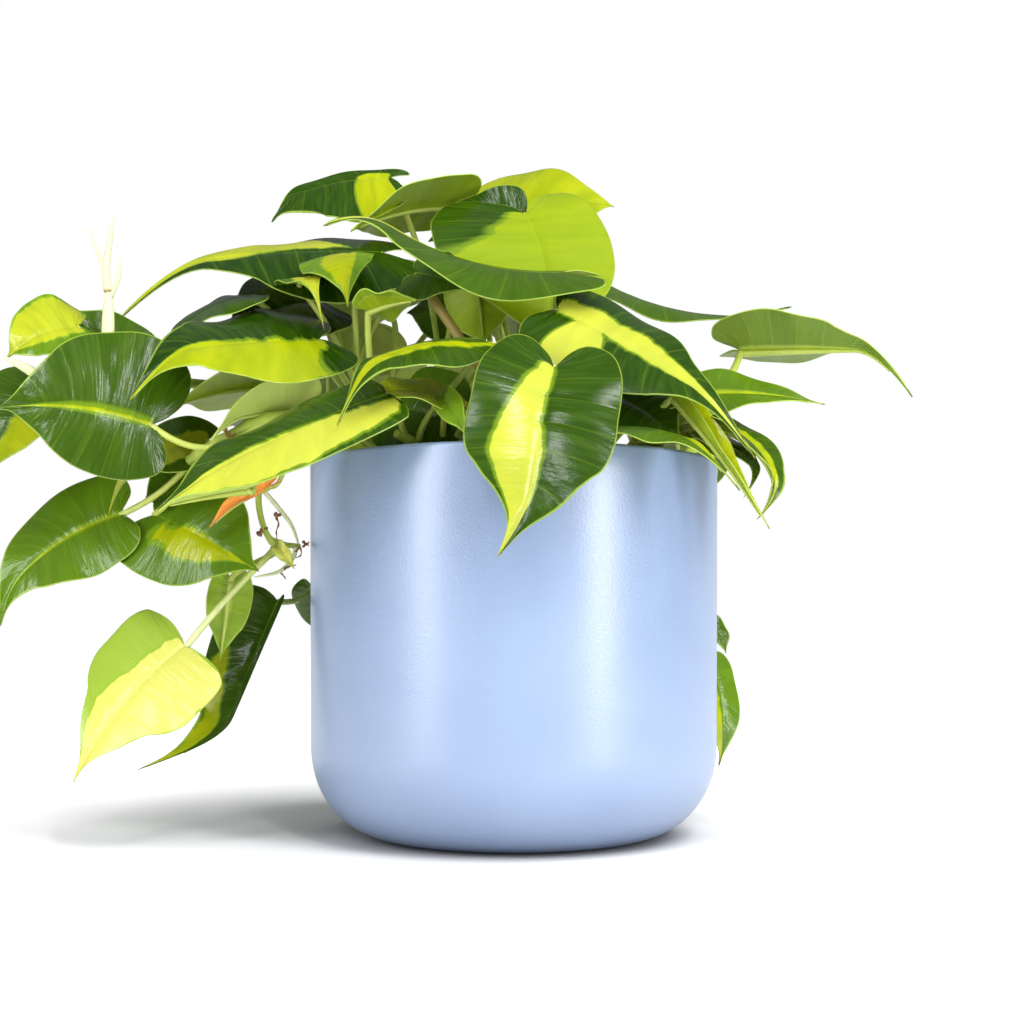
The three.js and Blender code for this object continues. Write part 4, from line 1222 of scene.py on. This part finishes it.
        far = np.broadcast_to(stations[:, None], wide.shape).ravel()[kept]
        over = np.broadcast_to(across[None], wide.shape).ravel()[kept]
        rib_mm = (wide * self.half).ravel()[kept]
        puff = np.abs(over) * (1 - np.abs(over)) * 4
        relief = PUFF * puff * np.cos(2 * np.pi * SIDE_VEINS * far)
        phase = self.draw.uniform(0, 6.3, 2)
        flutter = np.sin(2 * np.pi * 4.5 * far + np.where(over < 0, phase[0], phase[1]))
        relief = relief + FLUTTER * np.abs(over) ** 3 * flutter
        relief = relief - RIB_GROOVE * np.exp(-((rib_mm / RIB_GROOVE_WIDTH) ** 2))
        points = points + normals * (relief * min(1.0, self.half / RELIEF_FULL))[:, None]
        thick = BLADE_THICKNESS * (1 - 0.35 * over**2)[:, None] / 2
        count = len(points)
        loop = np.concatenate([[index[0, middle]], index[1:, -1], index[-2:0:-1, 0]])
        after = np.roll(loop, -1)
        rim = np.vstack([
            np.stack([loop, after, count + after], -1),
            np.stack([loop, count + after, count + loop], -1),
        ])
        under = triangles[:, ::-1] + count
        edge_mm = (1 - np.abs(over)) * self.half * np.maximum(smooth_curve(OUTLINE, far)[:, 0], 0.25)
        plain = {name: getattr(self.plan, name) for name in ("tone", "dry", "cream", "ragged")}
        values = {
            "splash": self.splash(stations, across).ravel()[kept],
            "rib_mm": rib_mm + 0.5 * far,
            "rim_mm": edge_mm,
            "seed": np.full(count, 3.7 * self.number),
            **{name: np.full(count, number) for name, number in plain.items()},
        }
        uv = np.stack([over / 2 + 0.5, far], -1)
        sides = [Slot.UPPER.value, Slot.UNDER.value]
        slots = np.repeat(sides, [len(triangles), len(under) + len(rim)])
        return Surface(
            np.vstack([points + normals * thick, points - normals * thick]),
            np.vstack([triangles, under, rim]),
            slots,
            np.vstack([uv, uv]),
            {name: np.concatenate([v, v]) for name, v in values.items()},
        )

    def under_rib(self) -> Surface:
        """Run the stalk on under the blade as a tapering rib.

        Returns:
            The rib as a thin tube.
        """
        t = np.linspace(0, 0.9, RIB_STEPS)
        point, along = self.rib(t)
        radius = self.plan.stalk * 0.85 * (1 - t) ** 0.8 + 0.12
        pale = np.full(len(t), self.plan.bleach + 0.2)
        sunk = self.rise(along) * (radius * 0.8 + BLADE_THICKNESS)[:, None]
        return sweep(point - sunk, radius, {"pale": pale, "tan": 0 * t}, 8)


@dataclass
class LeafyStem:
    """One stem with its stalks and blades, grown from one hole in the mix."""

    name: str
    plan: Stem
    first_number: int

    def curve(self, t: Floats) -> Floats:
        """Follow the stem from its foot to its end."""
        x, y = self.plan.hole
        foot = [(x, y, STEM_FOOT - 2), (x, y, SOIL_TOP), (x, y, STEM_STRAIGHT_TOP)]
        return smooth_curve(np.array([*foot, *self.plan.path], float), t)

    def stem(self) -> Surface:
        """Make the stem: a rod that swells where each stalk leaves it.

        Returns:
            The stem's surface.
        """
        t = np.linspace(0, 1, STEM_STEPS)
        points = self.curve(t)
        radius = np.full(len(t), float(self.plan.radius))
        for leaf in self.plan.leaves:
            radius += KNUCKLE * np.exp(-(((t - min(leaf.at, LAST_STALK)) / 0.018) ** 2))
        radius *= 1 - 0.25 * t**3
        tan = np.clip(1.5 - 4 * t, 0, 0.75)
        return sweep(points, radius, {"pale": 0.25 + 0.3 * t, "tan": tan}, 14)

    def stalk(self, blade: Blade) -> Surface:
        """Bend a stalk from the stem up to its blade, on a cubic curve.

        Args:
            blade: the blade that it carries.

        Returns:
            The stalk's surface.
        """
        plan = blade.plan
        places = np.array([min(plan.at, LAST_STALK), plan.at - 0.02, plan.at + 0.02])
        start, before, after = self.curve(places)
        base = blade.base - blade.up * plan.stalk * 0.7
        reach = base - start
        length = float(np.linalg.norm(reach))
        _, way = blade.rib(np.array([0.0]))
        if plan.via is not None:
            via = np.array(plan.via, float)
            near, far = start + (via - start) * 0.75, base + (via - base) * 0.75
        else:
            leave = unit(after - before) * 0.7 + unit(reach) * 0.6 + np.array([0, 0, 0.35])
            near = start + unit(leave) * length * 0.35
            far = base - unit(way[0] + blade.up) * length * 0.35
        t = np.linspace(0, 1, STALK_STEPS)
        u = t[:, None]
        middle = 3 * u * (1 - u) ** 2 * near + 3 * u**2 * (1 - u) * far
        points = (1 - u) ** 3 * start + middle + u**3 * base
        radius = plan.stalk * (0.95 + KNUCKLE * np.exp(-((t / 0.08) ** 2)))
        return sweep(points, radius, {"pale": plan.bleach + 0.3 * t, "tan": plan.tan + 0 * t})

    def dress(self, stalk_finish: Material, leaf_finishes: list[Material]) -> None:
        """Make the stem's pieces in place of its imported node.

        Args:
            stalk_finish: material of the stem and stalks.
            leaf_finishes: materials of the upper and under faces.
        """
        blades = [Blade(leaf, self.first_number + k) for k, leaf in enumerate(self.plan.leaves)]
        rods = [self.stem(), *[self.stalk(b) for b in blades], *[b.under_rib() for b in blades]]
        for points, radius in self.plan.shoot:
            t = np.linspace(0, 1, SHOOT_STEPS)
            scar = np.exp(-((t / 0.05) ** 2))
            taper = radius * (1 - 0.75 * t**3 + 0.15 * scar)
            path = smooth_curve(np.array(points, float), t)
            rods.append(sweep(path, taper, {"pale": 1.6 + 0 * t, "tan": 0.8 * scar}))
        for points, radius in self.plan.roots:
            t = np.linspace(0, 1, ROOT_STEPS)
            knots = radius * (1 + 0.3 * np.sin(19 * t)) * (1 - 0.5 * t)
            path = smooth_curve(np.array(points, float), t)
            rods.append(sweep(path, knots, {"pale": 0 * t, "tan": 1 + 0 * t}, 8))
        stalks = make_piece(f"{self.name}_stalks", join(rods), [stalk_finish])
        leaves = make_piece(f"{self.name}_blades", join([b.surface() for b in blades]), leaf_finishes)
        for piece in (stalks, leaves):
            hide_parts(self.name)
        LOG.info("%s: %d leaves", self.name, len(blades))


@dataclass
class Studio:
    """Pale floor, soft lights and the camera of the photograph."""

    floor_side: float = 12.0
    light_away: float = 1.25
    light_turn: float = 47.0
    aim: Triple = (0, 0, 0.1)
    fill: float = 0.2
    sun_power: float = 3.4
    sun_spread: float = 45.0
    sun_turn: Pair = (14.0, 21.0)

    def floor(self) -> None:
        """Lay the floor under the pot."""
        half = self.floor_side / 2
        mesh = bpy.data.meshes.new("studio_floor")
        corners = [(-half, -half, 0), (half, -half, 0), (half, half, 0), (-half, half, 0)]
        mesh.from_pydata(corners, [], [(0, 1, 2, 3)])
        mesh.materials.append(FloorPaint().build())
        floor = bpy.data.objects.new("studio_floor", mesh)
        bpy.context.scene.collection.objects.link(floor)
        floor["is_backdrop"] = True

    def lamp(self, name: str, at: Triple, size: Pair, power: float) -> None:
        """Hang a soft box that faces the pot.

        Args:
            name: the lamp's name.
            at: its place in metres.
            size: its width and height in metres.
            power: its power in watts.
        """
        light = bpy.data.lights.new(name, "AREA")
        light.shape = "RECTANGLE"
        light.size, light.size_y = size
        light.energy = power
        lamp = bpy.data.objects.new(name, light)
        away = np.array(at) - np.array(self.aim)
        level = float(np.hypot(away[0], away[1]))
        lamp.location = at
        turn = math.atan2(away[1], away[0]) + math.pi / 2
        lamp.rotation_euler = (math.atan2(level, away[2]), 0, turn)
        bpy.context.scene.collection.objects.link(lamp)

    def light(self) -> None:
        """Light the pot from both sides and above, with a white backdrop.

        The sky is white to the camera, and also to mirrored rays low behind the pot,
        which pales its edges. To all other rays it is as bright as the fill.
        """
        turn = math.radians(self.light_turn)
        x, y = self.light_away * math.sin(turn), -self.light_away * math.cos(turn)
        self.lamp("right_soft_box", (x, y, 0.45), (0.26, 1.2), 14.0)
        self.lamp("left_soft_box", (-x, y, 0.45), (0.26, 1.2), 10.0)
        self.lamp("left_front_panel", (-0.32, -0.8, 0.86), (0.08, 0.44), 2.2)
        self.lamp("right_front_panel", (0.28, -0.8, 0.86), (0.08, 0.44), 3.0)
        sun = bpy.data.lights.new("overhead_panel", "SUN")
        sun.energy = self.sun_power
        sun.angle = math.radians(self.sun_spread)
        panel = bpy.data.objects.new("overhead_panel", sun)
        panel.rotation_euler = (*(math.radians(turn) for turn in self.sun_turn), 0)
        panel.visible_glossy = False
        bpy.context.scene.collection.objects.link(panel)
        world = bpy.data.worlds.new("white studio")
        world.use_nodes = True
        world.node_tree.nodes.clear()
        add = Graph(world.node_tree).add
        ray = add(Node.RAY)
        way = add(Node.PLACE).node.outputs["Generated"]
        parts = add(Node.SPLIT, way).node.outputs
        low = add(Node.SUBTRACT, 1.0, add(Node.RAMP, parts[2], 0.02, 0.2))
        behind = add(Node.MULTIPLY, add(Node.RAMP, parts[1], 0.1, 0.6), low)
        mirrored = add(Node.MULTIPLY, ray.node.outputs["Is Glossy Ray"], behind)
        seen = add(Node.MAXIMUM, ray, mirrored)
        strength = add(Node.MULTIPLY_ADD, seen, 1.0 - self.fill, self.fill)
        add(Node.WORLD_END, add(Node.GLOW, (1, 1, 1, 1), strength))
        bpy.context.scene.world = world
        bpy.context.scene.view_settings.view_transform = "Standard"

    def camera(self) -> None:
        """Set the camera where the photograph was taken from."""
        data = bpy.data.cameras.new("camera")
        data.sensor_width = SENSOR_MM
        data.lens = SENSOR_MM * FOCAL_PIXELS / PHOTO_PIXELS
        data.clip_start = 0.01
        camera = bpy.data.objects.new("camera", data)
        camera.location = tuple(c * MM for c in CAMERA_AT)
        camera.rotation_euler = (math.pi / 2 + CAMERA_TILT, 0, 0)
        bpy.context.scene.collection.objects.link(camera)
        bpy.context.scene.camera = camera


def write_sizes() -> None:
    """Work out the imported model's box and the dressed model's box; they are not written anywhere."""
    boxes = {"cad": CAD_BOX, "visual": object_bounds()}
    plain = {name: [[float(c) for c in corner] for corner in box] for name, box in boxes.items()}


def main() -> None:
    """Set the studio, then dress the pot, the mix and each stem."""
    logging.basicConfig(level=logging.INFO, format="%(message)s")
    studio = Studio()
    studio.camera()
    studio.floor()
    studio.light()
    LOG.info("pot: %s", Pot().dress().name)
    LOG.info("soil: %s", Soil().dress().name)
    stalk_finish = StalkFinish().build()
    leaf_finishes = [WAXED_LEAF.build(), DULL_LEAF.build()]
    number = 0
    for name, plan in STEMS.items():
        LeafyStem(name, plan, number).dress(stalk_finish, leaf_finishes)
        number += len(plan.leaves)
    write_sizes()


if __name__ == "__main__":
    main()
